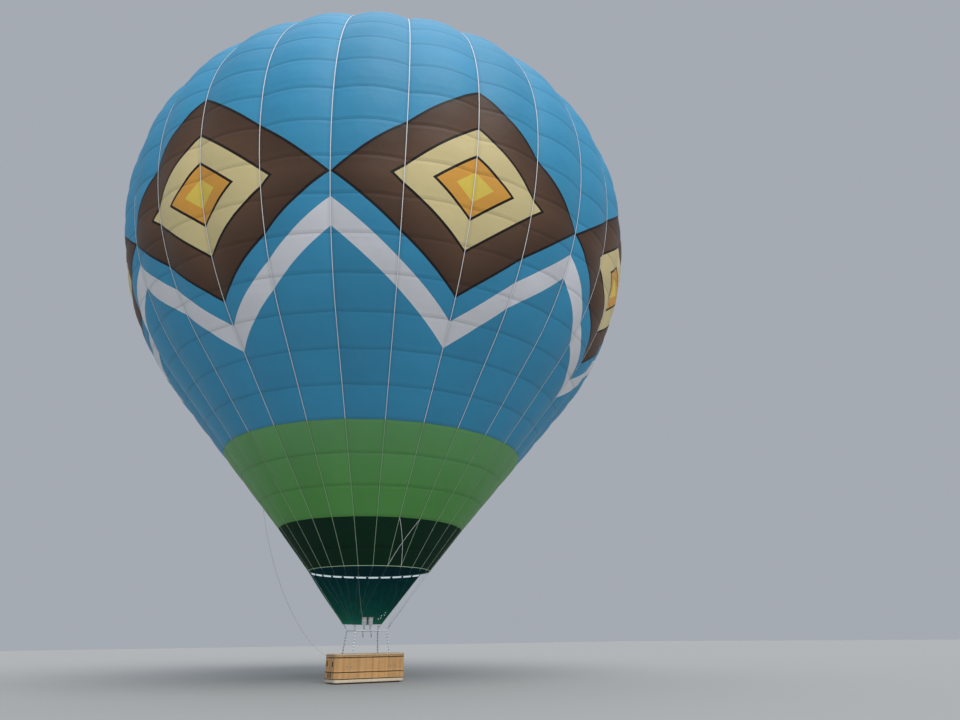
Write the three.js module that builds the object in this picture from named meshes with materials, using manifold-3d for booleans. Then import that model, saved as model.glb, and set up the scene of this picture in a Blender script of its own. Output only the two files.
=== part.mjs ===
// Hot air balloon: gored envelope, valve, scoop, flying wires, burners and wicker basket.
// Millimetres, +Z up. The origin is on the axis at the envelope's widest level, where the
// hot air lifts. +X runs along the basket's long side, and the scoop is on the +Y side.
import * as THREE from 'three';
import { mergeVertices } from 'three/addons/utils/BufferGeometryUtils.js';
import Module from 'manifold-3d';

const wasm = await Module();
wasm.setup();

const { sin, cos, tan, acos, sqrt, min, max, PI } = Math;
const degrees = PI / 180;
const vector = (x, y, z) => new THREE.Vector3(x, y, z);

// Driving dimensions of the envelope; heights are above the basket's foot
const EQUATOR_HEIGHT = 20608;
const EQUATOR_RADIUS = 12230;
const SHOULDER_ARC = 8864;
const SHOULDER_ANGLE = 57.4 * degrees;
const LOWER_ARC = 13010;
const CONE_ANGLE = 40.2 * degrees;
const BLUE_EDGE_HEIGHT = 9316;
const GREEN_EDGE_HEIGHT = 6143;
const MOUTH_HEIGHT = 4410;
const MOUTH_RADIUS = 2640;
const GORES = 28;
const GORE_STEP = 2 * PI / GORES;
const GORE_BULGE = 0.065;
const SHELL = 10;
const GAP = 0.3;

// Driving dimensions of the crown and its valve
const VALVE_OPENING_RADIUS = 2900;
const CROWN_EDGE_RADIUS = 3300;
const VALVE_RADIUS = 3200;
const BULGE_FULL_RADIUS = 5200;
const CROWN_RING_RADIUS = 150;
const CROWN_RING_HALF = 20;
const CROWN_TAPE_WIDTH = 30;
const CROWN_TAPE_THICKNESS = 4;
const VALVE_VENT_RADIUS = 60;
const VALVE_MIDDLE_RADIUS = 1700;
const TAPE_MIDDLE_RADIUS = 1500;

// Driving dimensions of the mouth, the scoop and the flying wires
const MOUTH_ROLL = 14;
const WIRE_RADIUS = 4;
const SCOOP_INSIDE = 6;
const SCOOP_END = 0.945;
const SCOOP_BILLOW = 0.10;

// Driving dimensions of the burner frame and the burners
const FRAME_HEIGHT = 2000;
const FRAME_HALF_LENGTH = 710;
const FRAME_HALF_WIDTH = 505;
const FRAME_TUBE = 23;
const FRAME_BEND = 60;
const CROSSBAR_X = 430;
const CROSSBAR_TUBE = 18;
const GIMBAL_HALF_LENGTH = 350;
const GIMBAL_HALF_WIDTH = 270;
const GIMBAL_TUBE = 14;
const PIN_RADIUS = 9;
const PIN_HOLE_RADIUS = 9.8;
const BURNER_X = 140;
const CAN_RADIUS = 112;
const CAN_BOTTOM = 2215;
const CAN_TOP = 2530;

// Driving dimensions of the basket
const BASKET_HALF_LENGTH = 1525;
const BASKET_HALF_WIDTH = 650;
const BASKET_CORNER = 170;
const WALL = 45;
const SKID_HEIGHT = 50;
const FLOOR_THICKNESS = 18;
const WALL_TOP = 1040;
const PARTITION_TOP = 1000;
const RIM_ROLL = 35;
const PARTITION_X = 530;
const PARTITION = 40;
const UPRIGHT_X = 800;
const UPRIGHT_RADIUS = 30;

const paint = (color, roughness, metalness = 0) =>
  new THREE.MeshStandardMaterial({ color, roughness, metalness });
const MATERIALS = {
  skyBlue: paint(0x4a93c4, 0.55),
  green: paint(0x4c8f4a, 0.55),
  darkGreen: paint(0x1c3a26, 0.6),
  webbing: paint(0xe6e8e4, 0.7),
  teal: paint(0x145242, 0.6),
  steel: paint(0xb9bcc0, 0.3, 1),
  castAlloy: paint(0x8d9196, 0.4, 1),
  wicker: paint(0xb27c3c, 0.75),
  suede: paint(0xd0b488, 0.85),
  rawhide: paint(0xcbb896, 0.7),
  plywood: paint(0x9c7646, 0.7),
  cover: paint(0xe4e2dc, 0.8),
  grip: paint(0x2c4a7a, 0.5),
};

const balloon = new THREE.Group();
const envelopeLevel = new THREE.Group();
const basketLevel = new THREE.Group();
basketLevel.position.z = -EQUATOR_HEIGHT;
balloon.add(envelopeLevel, basketLevel);

function addPiece(level, name, geometry, material) {
  const piece = new THREE.Mesh(geometry, material);
  piece.name = name;
  level.add(piece);
  return piece;
}

// Solids from geometries and back
function solidOf(geometry) {
  const bare = new THREE.BufferGeometry();
  bare.setAttribute('position', geometry.getAttribute('position').clone());
  bare.setIndex(geometry.getIndex());
  const merged = mergeVertices(bare, 1e-3);
  return new wasm.Manifold(new wasm.Mesh({
    numProp: 3,
    vertProperties: new Float32Array(merged.getAttribute('position').array),
    triVerts: new Uint32Array(merged.getIndex().array),
  }));
}

function geometryOf(solid) {
  const { vertProperties, triVerts } = solid.getMesh();
  const geometry = new THREE.BufferGeometry();
  geometry.setAttribute('position', new THREE.BufferAttribute(vertProperties, 3));
  geometry.setIndex(new THREE.BufferAttribute(triVerts, 1));
  return geometry;
}

const joined = (...geometries) =>
  geometryOf(geometries.map(solidOf).reduce((whole, next) => whole.add(next)));
const cut = (geometry, ...tools) =>
  geometryOf(tools.map(solidOf).reduce((left, tool) => left.subtract(tool), solidOf(geometry)));

// A straight round bar between two points
function rod(from, to, radius, sides = 8) {
  const along = to.clone().sub(from);
  const geometry = new THREE.CylinderGeometry(radius, radius, along.length(), sides);
  const turn = new THREE.Quaternion().setFromUnitVectors(vector(0, 1, 0), along.normalize());
  geometry.applyQuaternion(turn);
  const middle = from.clone().add(to).multiplyScalar(0.5);
  return geometry.translate(middle.x, middle.y, middle.z);
}

function ball(at, radius, around = 8, down = 6) {
  const geometry = new THREE.SphereGeometry(radius, around, down);
  return geometry.rotateX(PI / 2).translate(at.x, at.y, at.z);
}

function block(low, high) {
  const size = high.clone().sub(low);
  const middle = low.clone().add(high).multiplyScalar(0.5);
  return new THREE.BoxGeometry(size.x, size.y, size.z).translate(middle.x, middle.y, middle.z);
}

// A closed round tube through a loop of points, mitred at each of them
function tubeLoop(points, radius, sides = 8) {
  const position = [];
  const index = [];
  const count = points.length;
  points.forEach((point, i) => {
    const arriving = point.clone().sub(points[(i + count - 1) % count]).normalize();
    const leaving = points[(i + 1) % count].clone().sub(point).normalize();
    const mitre = arriving.clone().add(leaving).normalize();
    const side = arriving.clone().cross(leaving).normalize();
    const across = mitre.clone().cross(side);
    const stretch = 1 / across.dot(arriving.clone().cross(side));
    for (let k = 0; k < sides; k += 1) {
      const angle = 2 * PI * (k + 0.5) / sides;
      const at = point.clone().addScaledVector(side, radius * sin(angle))
        .addScaledVector(across, radius * stretch * cos(angle));
      position.push(at.x, at.y, at.z);
      const [a, b] = [i * sides + k, i * sides + (k + 1) % sides];
      const [c, d] = [((i + 1) % count) * sides + (k + 1) % sides, ((i + 1) % count) * sides + k];
      index.push(a, b, c, a, c, d);
    }
  });
  return closedGeometry(position, index);
}

// A level rectangle of points with round corners, three points to a corner
function roundedCorners(halfLength, halfWidth, radius, height) {
  const corners = [[1, 1, 0], [-1, 1, 1], [-1, -1, 2], [1, -1, 3]];
  return corners.flatMap(([sx, sy, quarter]) => [0, 0.5, 1].map((share) => {
    const angle = (quarter + share) * PI / 2;
    return vector(sx * (halfLength - radius) + radius * cos(angle),
      sy * (halfWidth - radius) + radius * sin(angle), height);
  }));
}

// A shell with a front and a back grid of points, as a ring or as a sheet with four edges
function closedShell(front, back, isRing) {
  const rows = front.length;
  const columns = front[0].length;
  const position = [...front, ...back].flatMap((row) => row.flatMap((p) => [p.x, p.y, p.z]));
  const index = [];
  const f = (i, j) => i * columns + (j % columns);
  const b = (i, j) => rows * columns + f(i, j);
  const quad = (p, q, r, s, turned) => {
    if (turned) index.push(p, q, s, q, r, s);
    else index.push(p, q, r, p, r, s);
  };
  const spans = isRing ? columns : columns - 1;
  const end = rows - 1;
  for (let j = 0; j < spans; j += 1) {
    const turned = j % 2 === 1;
    for (let i = 0; i < end; i += 1) {
      quad(f(i, j), f(i, j + 1), f(i + 1, j + 1), f(i + 1, j), turned);
      quad(b(i, j), b(i + 1, j), b(i + 1, j + 1), b(i, j + 1), turned);
    }
    quad(f(0, j), b(0, j), b(0, j + 1), f(0, j + 1), false);
    quad(f(end, j), f(end, j + 1), b(end, j + 1), b(end, j), false);
  }
  if (!isRing) {
    for (let i = 0; i < end; i += 1) {
      quad(f(i, 0), f(i + 1, 0), b(i + 1, 0), b(i, 0), false);
      quad(f(i, spans), b(i, spans), b(i + 1, spans), f(i + 1, spans), false);
    }
  }
  return closedGeometry(position, index);
}

// A geometry from points and triangles, with its faces turned outward
function closedGeometry(position, index) {
  const geometry = new THREE.BufferGeometry();
  geometry.setAttribute('position', new THREE.Float32BufferAttribute(position, 3));
  geometry.setIndex(signedVolume(position, index) > 0 ? index : index.reverse());
  return geometry;
}

function signedVolume(position, index) {
  let volume = 0;
  const point = (i) => vector(...position.slice(3 * i, 3 * i + 3));
  for (let i = 0; i < index.length; i += 3) {
    const [p, q, r] = [point(index[i]), point(index[i + 1]), point(index[i + 2])];
    volume += p.dot(q.cross(r));
  }
  return volume;
}

// The envelope's profile: radius r, height z above the widest level, outward normal (nr, nz)
const CROWN_ARC = SHOULDER_ARC + (EQUATOR_RADIUS - SHOULDER_ARC) / cos(SHOULDER_ANGLE);
const CROWN_CENTRE_Z = (SHOULDER_ARC - CROWN_ARC) * sin(SHOULDER_ANGLE);
const onArc = (centreR, centreZ, radius, angle) => ({
  r: centreR + radius * cos(angle),
  z: centreZ + radius * sin(angle),
  nr: cos(angle),
  nz: sin(angle),
});
const onCrown = (radius) => onArc(0, CROWN_CENTRE_Z, CROWN_ARC, acos(radius / CROWN_ARC));
const onShoulder = (angle) => onArc(EQUATOR_RADIUS - SHOULDER_ARC, 0, SHOULDER_ARC, angle);
const onLower = (angle) => onArc(EQUATOR_RADIUS - LOWER_ARC, 0, LOWER_ARC, -angle);
const coneTop = onLower(CONE_ANGLE);
const onCone = (height) => {
  const z = height - EQUATOR_HEIGHT;
  return { ...coneTop, r: coneTop.r - (coneTop.z - z) * tan(CONE_ANGLE), z };
};
const mouth = { ...coneTop, r: MOUTH_RADIUS, z: MOUTH_HEIGHT - EQUATOR_HEIGHT };
const shoulderTop = onShoulder(SHOULDER_ANGLE);

const steps = (count, point) => Array.from({ length: count }, (_, i) => point((i + 1) / count));
const mix = (a, b, share) => a + (b - a) * share;

// One band of panels: name, material, its parts around the axis, and its stations from the top
const QUARTERS = ['_1', '_2', '_3', '_4'];
const WHOLE = [''];
const crownRows = steps(3, (s) => onCrown(mix(CROWN_EDGE_RADIUS, shoulderTop.r, s)));
const BANDS = [
  ['envelope_crown', 'skyBlue', QUARTERS,
    [onCrown(VALVE_OPENING_RADIUS), onCrown(CROWN_EDGE_RADIUS), ...crownRows]],
  ['envelope_shoulder', 'skyBlue', QUARTERS,
    [shoulderTop, ...steps(4, (s) => onShoulder(SHOULDER_ANGLE * (1 - s)))]],
  ['envelope_lower', 'skyBlue', QUARTERS,
    [onLower(0), ...steps(4, (s) => onLower(CONE_ANGLE * s)), onCone(BLUE_EDGE_HEIGHT)]],
  ['envelope_green_band', 'green', WHOLE, [onCone(BLUE_EDGE_HEIGHT), onCone(GREEN_EDGE_HEIGHT)]],
  ['envelope_dark_band', 'darkGreen', WHOLE, [onCone(GREEN_EDGE_HEIGHT), mouth]],
];

// How far the cloth stands out between two tapes at a station of the profile
function bulgeAt(station) {
  const fromCrown = (station.r - CROWN_EDGE_RADIUS) / (BULGE_FULL_RADIUS - CROWN_EDGE_RADIUS);
  const fromMouth = (station.z - mouth.z) / (coneTop.z - mouth.z);
  const share = station.z > 0 ? max(0, min(1, fromCrown)) : max(0, min(1, fromMouth));
  return GORE_BULGE * GORE_STEP * station.r * share;
}

// A ring of points, at the tapes and at the middle of each gore, moved along the normal
function goreRing(station, offset) {
  return Array.from({ length: 2 * GORES }, (_, j) => {
    const side = j % 2 === 0 ? -0.5 : 0.5;
    const out = offset + side * bulgeAt(station);
    const r = station.r + station.nr * out;
    const azimuth = (j + 1) * GORE_STEP / 2;
    return vector(r * cos(azimuth), r * sin(azimuth), station.z + station.nz * out);
  });
}

// The same station moved along the profile towards another by a distance
function towards(station, other, distance) {
  const length = sqrt((other.r - station.r) ** 2 + (other.z - station.z) ** 2);
  const share = distance / length;
  return { ...station, r: mix(station.r, other.r, share), z: mix(station.z, other.z, share) };
}

// The points of a ring in one of its parts, from tape to tape, with a gap to the part beside it
function sector(ring, part, parts) {
  const spans = ring.length / parts;
  const points = Array.from({ length: spans + 1 }, (_, i) => ring[(part * spans + i) % ring.length].clone());
  for (const [end, next] of [[0, 1], [spans, spans - 1]]) {
    const inward = points[next].clone().sub(points[end]).normalize();
    points[end].addScaledVector(inward, GAP / 2);
  }
  return points;
}

function bandShell(stations, topTrim, bottomTrim, part, parts) {
  const trimmed = [...stations];
  const last = stations.length - 1;
  trimmed[0] = towards(stations[0], stations[1], topTrim);
  trimmed[last] = towards(stations[last], stations[last - 1], bottomTrim);
  const [outer, inner] = [0, -SHELL].map((offset) => trimmed.map((station) => {
    const ring = goreRing(station, offset);
    return parts === 1 ? ring : sector(ring, part, parts);
  }));
  return closedShell(outer, inner, parts === 1);
}

for (const [name, material, parts, stations] of BANDS) {
  const endsAtMouth = stations[stations.length - 1] === mouth;
  const bottomTrim = endsAtMouth ? MOUTH_ROLL + GAP : GAP / 2;
  parts.forEach((ending, part) => {
    const shell = bandShell(stations, GAP / 2, bottomTrim, part, parts.length);
    addPiece(envelopeLevel, name + ending, shell, MATERIALS[material]);
  });
}

// Parachute valve: a shallow cap that closes the crown's opening from below
const openingEdge = onCrown(VALVE_OPENING_RADIUS);
const crownEdge = onCrown(CROWN_EDGE_RADIUS);
const valveShare = (VALVE_RADIUS - VALVE_OPENING_RADIUS) / (CROWN_EDGE_RADIUS - VALVE_OPENING_RADIUS);
const valveEdge = {
  ...openingEdge,
  r: mix(openingEdge.r, crownEdge.r, valveShare),
  z: mix(openingEdge.z, crownEdge.z, valveShare),
};
function domeRing(station, offset) {
  return Array.from({ length: GORES }, (_, j) => {
    const azimuth = (j + 0.5) * GORE_STEP;
    const r = station.r + station.nr * offset;
    return vector(r * cos(azimuth), r * sin(azimuth), station.z + station.nz * offset);
  });
}
const valveStations = [valveEdge, openingEdge, onCrown(VALVE_MIDDLE_RADIUS), onCrown(VALVE_VENT_RADIUS)];
const valveTop = valveStations.map((station) => domeRing(station, -SHELL - 2 * GAP));
const valveBottom = valveStations.map((station) => domeRing(station, -2 * SHELL - 2 * GAP));
addPiece(envelopeLevel, 'parachute_valve', closedShell(valveTop, valveBottom, true), MATERIALS.skyBlue);

// Crown ring with the load tapes that cross the opening to it
function crownTape(azimuth) {
  const stations = [CROWN_RING_RADIUS, TAPE_MIDDLE_RADIUS, VALVE_OPENING_RADIUS, VALVE_RADIUS].map(onCrown);
  const shape = new THREE.Shape();
  const lower = stations.map((s) => [s.r + s.nr * GAP, s.z + s.nz * GAP]);
  const thick = GAP + CROWN_TAPE_THICKNESS;
  const upper = stations.map((s) => [s.r + s.nr * thick, s.z + s.nz * thick]).reverse();
  shape.setFromPoints([...lower, ...upper].map(([r, z]) => new THREE.Vector2(r, z)));
  const geometry = new THREE.ExtrudeGeometry(shape, { depth: CROWN_TAPE_WIDTH, bevelEnabled: false });
  return geometry.translate(0, 0, -CROWN_TAPE_WIDTH / 2).rotateX(PI / 2).rotateZ(azimuth);
}
const crownRingZ = onCrown(CROWN_RING_RADIUS).z;
const crownRingProfile = [[-1, -0.4], [1, -0.4], [1, 0.6], [-1, 0.6], [-1, -0.4]].map(
  ([r, z]) => new THREE.Vector2(CROWN_RING_RADIUS + r * CROWN_RING_HALF, z * CROWN_RING_HALF));
const crownRing = new THREE.LatheGeometry(crownRingProfile, GORES).rotateX(PI / 2);
crownRing.translate(0, 0, crownRingZ + 0.4 * CROWN_RING_HALF + GAP);
const crownTapes = Array.from({ length: GORES }, (_, k) => crownTape((k + 0.5) * GORE_STEP));
addPiece(envelopeLevel, 'crown_ring_and_tapes', joined(crownRing, ...crownTapes), MATERIALS.webbing);

// Mouth roll: the rolled webbing edge that the flying wires hang from
const mouthRoll = new THREE.TorusGeometry(MOUTH_RADIUS, MOUTH_ROLL, 8, GORES);
mouthRoll.rotateZ(GORE_STEP / 2).translate(0, 0, MOUTH_HEIGHT);
addPiece(basketLevel, 'mouth_roll', mouthRoll, MATERIALS.webbing);
const tapeEnd = (azimuth) =>
  vector(MOUTH_RADIUS * cos(azimuth), MOUTH_RADIUS * sin(azimuth), MOUTH_HEIGHT);

// Corners of the burner frame: name and the signs of x and y
const CORNERS = [
  ['back_right', 1, 1],
  ['back_left', -1, 1],
  ['front_left', -1, -1],
  ['front_right', 1, -1],
];
const WIRES_PER_CORNER = GORES / 4;
const LUG_REACH = 62;
const LUG_RADIUS = 27;
const LUG_HOLE = 15;
const LUG_THICKNESS = 12;
const LINK_BAR = 6;
const LINK_BEND = 22;
const LINK_LENGTH = 60;
const LINK_SEAT = 5.3;
const WIRE_SPACING = 9;
const COLLECTOR_HALF = vector(33, 12, 12);

function cornerFrame(sx, sy) {
  const corner = vector(sx * FRAME_HALF_LENGTH, sy * FRAME_HALF_WIDTH, FRAME_HEIGHT);
  const azimuths = Array.from({ length: WIRES_PER_CORNER }, (_, k) => (k + 0.5) * GORE_STEP);
  const ends = azimuths.map((a) => tapeEnd(a).multiply(vector(sx, sy, 1)));
  const middle = ends.reduce((sum, end) => sum.add(end), vector(0, 0, 0));
  middle.multiplyScalar(1 / WIRES_PER_CORNER);
  const pull = middle.sub(corner).normalize();
  const across = vector(0, 0, 1).cross(pull).normalize();
  const hole = corner.clone().addScaledVector(pull, LUG_REACH);
  const collector = hole.clone().addScaledVector(pull, LINK_SEAT + 2 * LINK_BEND + LINK_LENGTH);
  const fan = ends[WIRES_PER_CORNER - 1].clone().sub(ends[0]);
  const order = Math.sign(fan.dot(across));
  const starts = ends.map((_, k) => collector.clone()
    .addScaledVector(across, order * (k - (WIRES_PER_CORNER - 1) / 2) * WIRE_SPACING));
  return { corner, ends, starts, pull, across, hole, collector };
}

// The link is an upright oval through the lug's hole, in the plane of the pull
const LINK_OUTLINE = [
  [0, -1, -1], [0.75, -1, -0.66], [1, -1, 0], [1, 1, 0], [0.75, 1, 0.66],
  [0, 1, 1], [-0.75, 1, 0.66], [-1, 1, 0], [-1, -1, 0], [-0.75, -1, -0.66],
];
function link({ hole, pull, across }) {
  const middle = hole.clone().addScaledVector(pull, LINK_SEAT + LINK_BEND + LINK_LENGTH / 2);
  return tubeLoop(LINK_OUTLINE.map(([side, end, bend]) => middle.clone()
    .addScaledVector(across, side * LINK_BEND)
    .addScaledVector(pull, end * LINK_LENGTH / 2 + bend * LINK_BEND)), LINK_BAR, 6);
}

// Turns a piece so that its X runs across the pull and its Z along it
function alongPull(geometry, { pull, across }, at) {
  const turn = new THREE.Matrix4().makeBasis(across, pull.clone().cross(across), pull);
  return geometry.applyMatrix4(turn).translate(at.x, at.y, at.z);
}

// Seven wires fan out from a collector on the link and end under the mouth roll
const WIRE_END = MOUTH_ROLL + 1.7;
function flyingWires(frame) {
  const collector = alongPull(block(COLLECTOR_HALF.clone().negate(), COLLECTOR_HALF), frame, frame.collector);
  const wires = frame.ends.map((end, k) => {
    const start = frame.starts[k];
    const back = start.clone().sub(end).normalize();
    return rod(start, end.clone().addScaledVector(back, WIRE_END), WIRE_RADIUS, 6);
  });
  return joined(link(frame), collector, ...wires);
}

function cornerLug({ corner, pull, across, hole }) {
  const outline = new THREE.Shape();
  outline.absarc(0, 0, LUG_RADIUS, PI, 2 * PI, false);
  outline.absarc(0, LUG_REACH, LUG_RADIUS, 0, PI, false);
  const eye = new THREE.Path();
  eye.absarc(0, LUG_REACH, LUG_HOLE, 0, 2 * PI, true);
  outline.holes.push(eye);
  const plate = new THREE.ExtrudeGeometry(outline, {
    depth: LUG_THICKNESS, bevelEnabled: false, curveSegments: 5,
  });
  plate.translate(0, 0, -LUG_THICKNESS / 2).rotateY(-PI / 2).rotateX(PI / 2);
  return alongPull(plate, { pull, across }, corner);
}

const cornerFrames = CORNERS.map(([name, sx, sy]) => ({ name, sx, sy, ...cornerFrame(sx, sy) }));
for (const frame of cornerFrames) {
  addPiece(basketLevel, `flying_wires_${frame.name}`, flyingWires(frame), MATERIALS.steel);
}

// Scoop: cloth hung outside the back wires, billowed between them
const scoopColumns = [];
const backFrames = [cornerFrames[0], cornerFrames[1]];
const wireLines = ({ ends, starts }) => ends.map((end, k) => [end, starts[k]]);
const rightSide = wireLines(backFrames[0]);
const leftSide = wireLines(backFrames[1]).reverse();
const scoopLines = [...rightSide, ...leftSide];
scoopLines.forEach(([top, bottom], i) => {
  scoopColumns.push({ top, bottom, free: false });
  if (i < scoopLines.length - 1) {
    const [nextTop, nextBottom] = scoopLines[i + 1];
    scoopColumns.push({
      top: top.clone().lerp(nextTop, 0.5),
      bottom: bottom.clone().lerp(nextBottom, 0.5),
      free: true,
    });
  }
});
const SCOOP_ROWS = 4;
const SCOOP_TOP_DROP = 12.5;
function scoopGrid(offset) {
  return Array.from({ length: SCOOP_ROWS + 1 }, (_, i) => {
    const share = SCOOP_END * i / SCOOP_ROWS;
    const middle = scoopColumns.map(({ top, bottom }) => {
      const drop = SCOOP_TOP_DROP / top.distanceTo(bottom);
      return top.clone().lerp(bottom, drop + (1 - drop) * share);
    });
    return middle.map((point, j) => {
      const before = middle[max(0, j - 1)];
      const after = middle[min(middle.length - 1, j + 1)];
      const { top, bottom, free } = scoopColumns[j];
      const out = after.clone().sub(before).cross(top.clone().sub(bottom)).normalize();
      const width = after.distanceTo(before);
      const billow = free ? SCOOP_BILLOW * width * sin(PI * share) : 0;
      return point.clone().addScaledVector(out, offset + billow);
    });
  });
}
const scoopSide = scoopGrid(SCOOP_INSIDE);
const scoopOuter = scoopGrid(SCOOP_INSIDE + SHELL);
addPiece(basketLevel, 'scoop', closedShell(scoopOuter, scoopSide, false), MATERIALS.teal);

// Burner frame: welded tube with two crossbars, four lugs and the gimbal's bosses
const BOSS_HALF = 22;
const BOSS_REACH = 52;
const BORE_OVERRUN = 10;
const BORE_BOTTOM = 2;
function boss(axis, at) {
  const low = vector(-BOSS_HALF, -BOSS_HALF, -BOSS_HALF).add(at);
  const high = vector(BOSS_HALF, BOSS_HALF, BOSS_HALF).add(at);
  const span = at[axis] > 0 ? high : low;
  span[axis] = at[axis];
  const inner = at[axis] > 0 ? low : high;
  inner[axis] = at[axis] - Math.sign(at[axis]) * BOSS_REACH;
  return block(low, high);
}
const signs = [1, -1];
const gimbalAxisBars = signs.map((s) =>
  rod(vector(s * CROSSBAR_X, -FRAME_HALF_WIDTH, FRAME_HEIGHT),
    vector(s * CROSSBAR_X, FRAME_HALF_WIDTH, FRAME_HEIGHT), CROSSBAR_TUBE));
const frameBosses = signs.map((s) => boss('x', vector(s * CROSSBAR_X, 0, FRAME_HEIGHT)));
const frameBores = signs.map((s) =>
  rod(vector(s * (CROSSBAR_X - BOSS_REACH - BORE_OVERRUN), 0, FRAME_HEIGHT),
    vector(s * (CROSSBAR_X - CROSSBAR_TUBE + BORE_BOTTOM), 0, FRAME_HEIGHT), PIN_HOLE_RADIUS, 16));
const burnerFrame = cut(joined(
  tubeLoop(roundedCorners(FRAME_HALF_LENGTH, FRAME_HALF_WIDTH, FRAME_BEND, FRAME_HEIGHT), FRAME_TUBE),
  ...cornerFrames.map(cornerLug), ...gimbalAxisBars, ...frameBosses), ...frameBores);
addPiece(basketLevel, 'burner_frame', burnerFrame, MATERIALS.steel);

// Gimbal ring: it tilts about X in the frame and carries the burner block about Y
const PIN_END_CLEAR = 6;
const framePins = signs.map((s) =>
  rod(vector(s * GIMBAL_HALF_LENGTH, 0, FRAME_HEIGHT),
    vector(s * (CROSSBAR_X - CROSSBAR_TUBE - PIN_END_CLEAR), 0, FRAME_HEIGHT), PIN_RADIUS, 16));
const gimbalBosses = signs.map((s) => boss('y', vector(0, s * GIMBAL_HALF_WIDTH, FRAME_HEIGHT)));
const gimbalBores = signs.map((s) =>
  rod(vector(0, s * (GIMBAL_HALF_WIDTH - BOSS_REACH - BORE_OVERRUN), FRAME_HEIGHT),
    vector(0, s * (GIMBAL_HALF_WIDTH - GIMBAL_TUBE + BORE_BOTTOM), FRAME_HEIGHT), PIN_HOLE_RADIUS, 16));
const gimbalRing = cut(joined(
  tubeLoop(roundedCorners(GIMBAL_HALF_LENGTH, GIMBAL_HALF_WIDTH, FRAME_BEND, FRAME_HEIGHT), GIMBAL_TUBE),
  ...framePins, ...gimbalBosses), ...gimbalBores);
addPiece(basketLevel, 'gimbal_ring', gimbalRing, MATERIALS.steel);

// Burner block with its trunnions, stems and the base plates that the cans stand on
const BLOCK_HALF = vector(215, 55, 30);
const STEM_RADIUS = 22;
const PLATE_THICKNESS = 8;
const blockBody = block(
  vector(-BLOCK_HALF.x, -BLOCK_HALF.y, FRAME_HEIGHT - BLOCK_HALF.z),
  vector(BLOCK_HALF.x, BLOCK_HALF.y, FRAME_HEIGHT + BLOCK_HALF.z));
const trunnion = rod(
  vector(0, -(GIMBAL_HALF_WIDTH - GIMBAL_TUBE - PIN_END_CLEAR), FRAME_HEIGHT),
  vector(0, GIMBAL_HALF_WIDTH - GIMBAL_TUBE - PIN_END_CLEAR, FRAME_HEIGHT), PIN_RADIUS, 16);
const plateTop = CAN_BOTTOM - GAP;
const stems = signs.flatMap((s) => [
  rod(vector(s * BURNER_X, 0, FRAME_HEIGHT), vector(s * BURNER_X, 0, plateTop - 2), STEM_RADIUS, 12),
  rod(vector(s * BURNER_X, 0, plateTop - PLATE_THICKNESS),
    vector(s * BURNER_X, 0, plateTop), CAN_RADIUS - 6, 20),
]);
addPiece(basketLevel, 'burner_block', joined(blockBody, trunnion, ...stems), MATERIALS.castAlloy);

// Burner cans, open at the top, and the fuel coils inside them
const CAN_WALL = 6;
const canProfile = [
  [CAN_RADIUS - CAN_WALL, CAN_BOTTOM], [CAN_RADIUS, CAN_BOTTOM], [CAN_RADIUS, CAN_TOP - 30],
  [CAN_RADIUS + 6, CAN_TOP], [CAN_RADIUS + 6 - CAN_WALL, CAN_TOP], [CAN_RADIUS - CAN_WALL, CAN_TOP - 30],
  [CAN_RADIUS - CAN_WALL, CAN_BOTTOM],
].map(([r, z]) => new THREE.Vector2(r, z));
const COIL_RADIUS = 78;
const COIL_TUBE = 9;
const COIL_TURNS = 3;
const COIL_BOTTOM = plateTop + 40;
const COIL_RISE = 70;
class CoilPath extends THREE.Curve {
  getPoint(share, target = vector(0, 0, 0)) {
    const turn = 2 * PI * COIL_TURNS * share;
    return target.set(COIL_RADIUS * cos(turn), COIL_RADIUS * sin(turn),
      COIL_BOTTOM + COIL_RISE * COIL_TURNS * share);
  }
}
function roundSection(radius, sides) {
  const section = new THREE.Shape();
  for (let k = 0; k < sides; k += 1) {
    const point = [radius * cos(2 * PI * k / sides), radius * sin(2 * PI * k / sides)];
    if (k === 0) section.moveTo(...point);
    else section.lineTo(...point);
  }
  section.closePath();
  return section;
}
function fuelCoil() {
  const turns = new THREE.ExtrudeGeometry(roundSection(COIL_TUBE, 6), {
    steps: 10 * COIL_TURNS, extrudePath: new CoilPath(), bevelEnabled: false,
  });
  const foot = rod(vector(COIL_RADIUS, 0, plateTop + GAP), vector(COIL_RADIUS, 0, COIL_BOTTOM), COIL_TUBE + 1, 8);
  return joined(turns, foot);
}
for (const [i, s] of [[1, -1], [2, 1]]) {
  const can = new THREE.LatheGeometry(canProfile, 24).rotateX(PI / 2).translate(s * BURNER_X, 0, 0);
  addPiece(basketLevel, `burner_can_${i}`, can, MATERIALS.steel);
  const coil = fuelCoil().translate(s * BURNER_X, 0, 0);
  addPiece(basketLevel, `burner_coil_${i}`, coil, MATERIALS.steel);
}

// Blast valve handles under the block
const HANDLE_X = 185;
const HANDLE_DROP = 150;
for (const [i, s] of [[1, -1], [2, 1]]) {
  const top = vector(s * HANDLE_X, 0, FRAME_HEIGHT - BLOCK_HALF.z - GAP);
  const elbow = vector(s * HANDLE_X, 0, top.z - HANDLE_DROP / 2);
  const gripTop = vector(s * HANDLE_X, -60, elbow.z - 20);
  const gripEnd = vector(s * HANDLE_X, -60, gripTop.z - HANDLE_DROP);
  addPiece(basketLevel, `blast_handle_${i}`, joined(
    rod(top, elbow, 14), rod(elbow, gripTop, 8), ball(elbow, 14), rod(gripTop, gripEnd, 15)), MATERIALS.grip);
}

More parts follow.
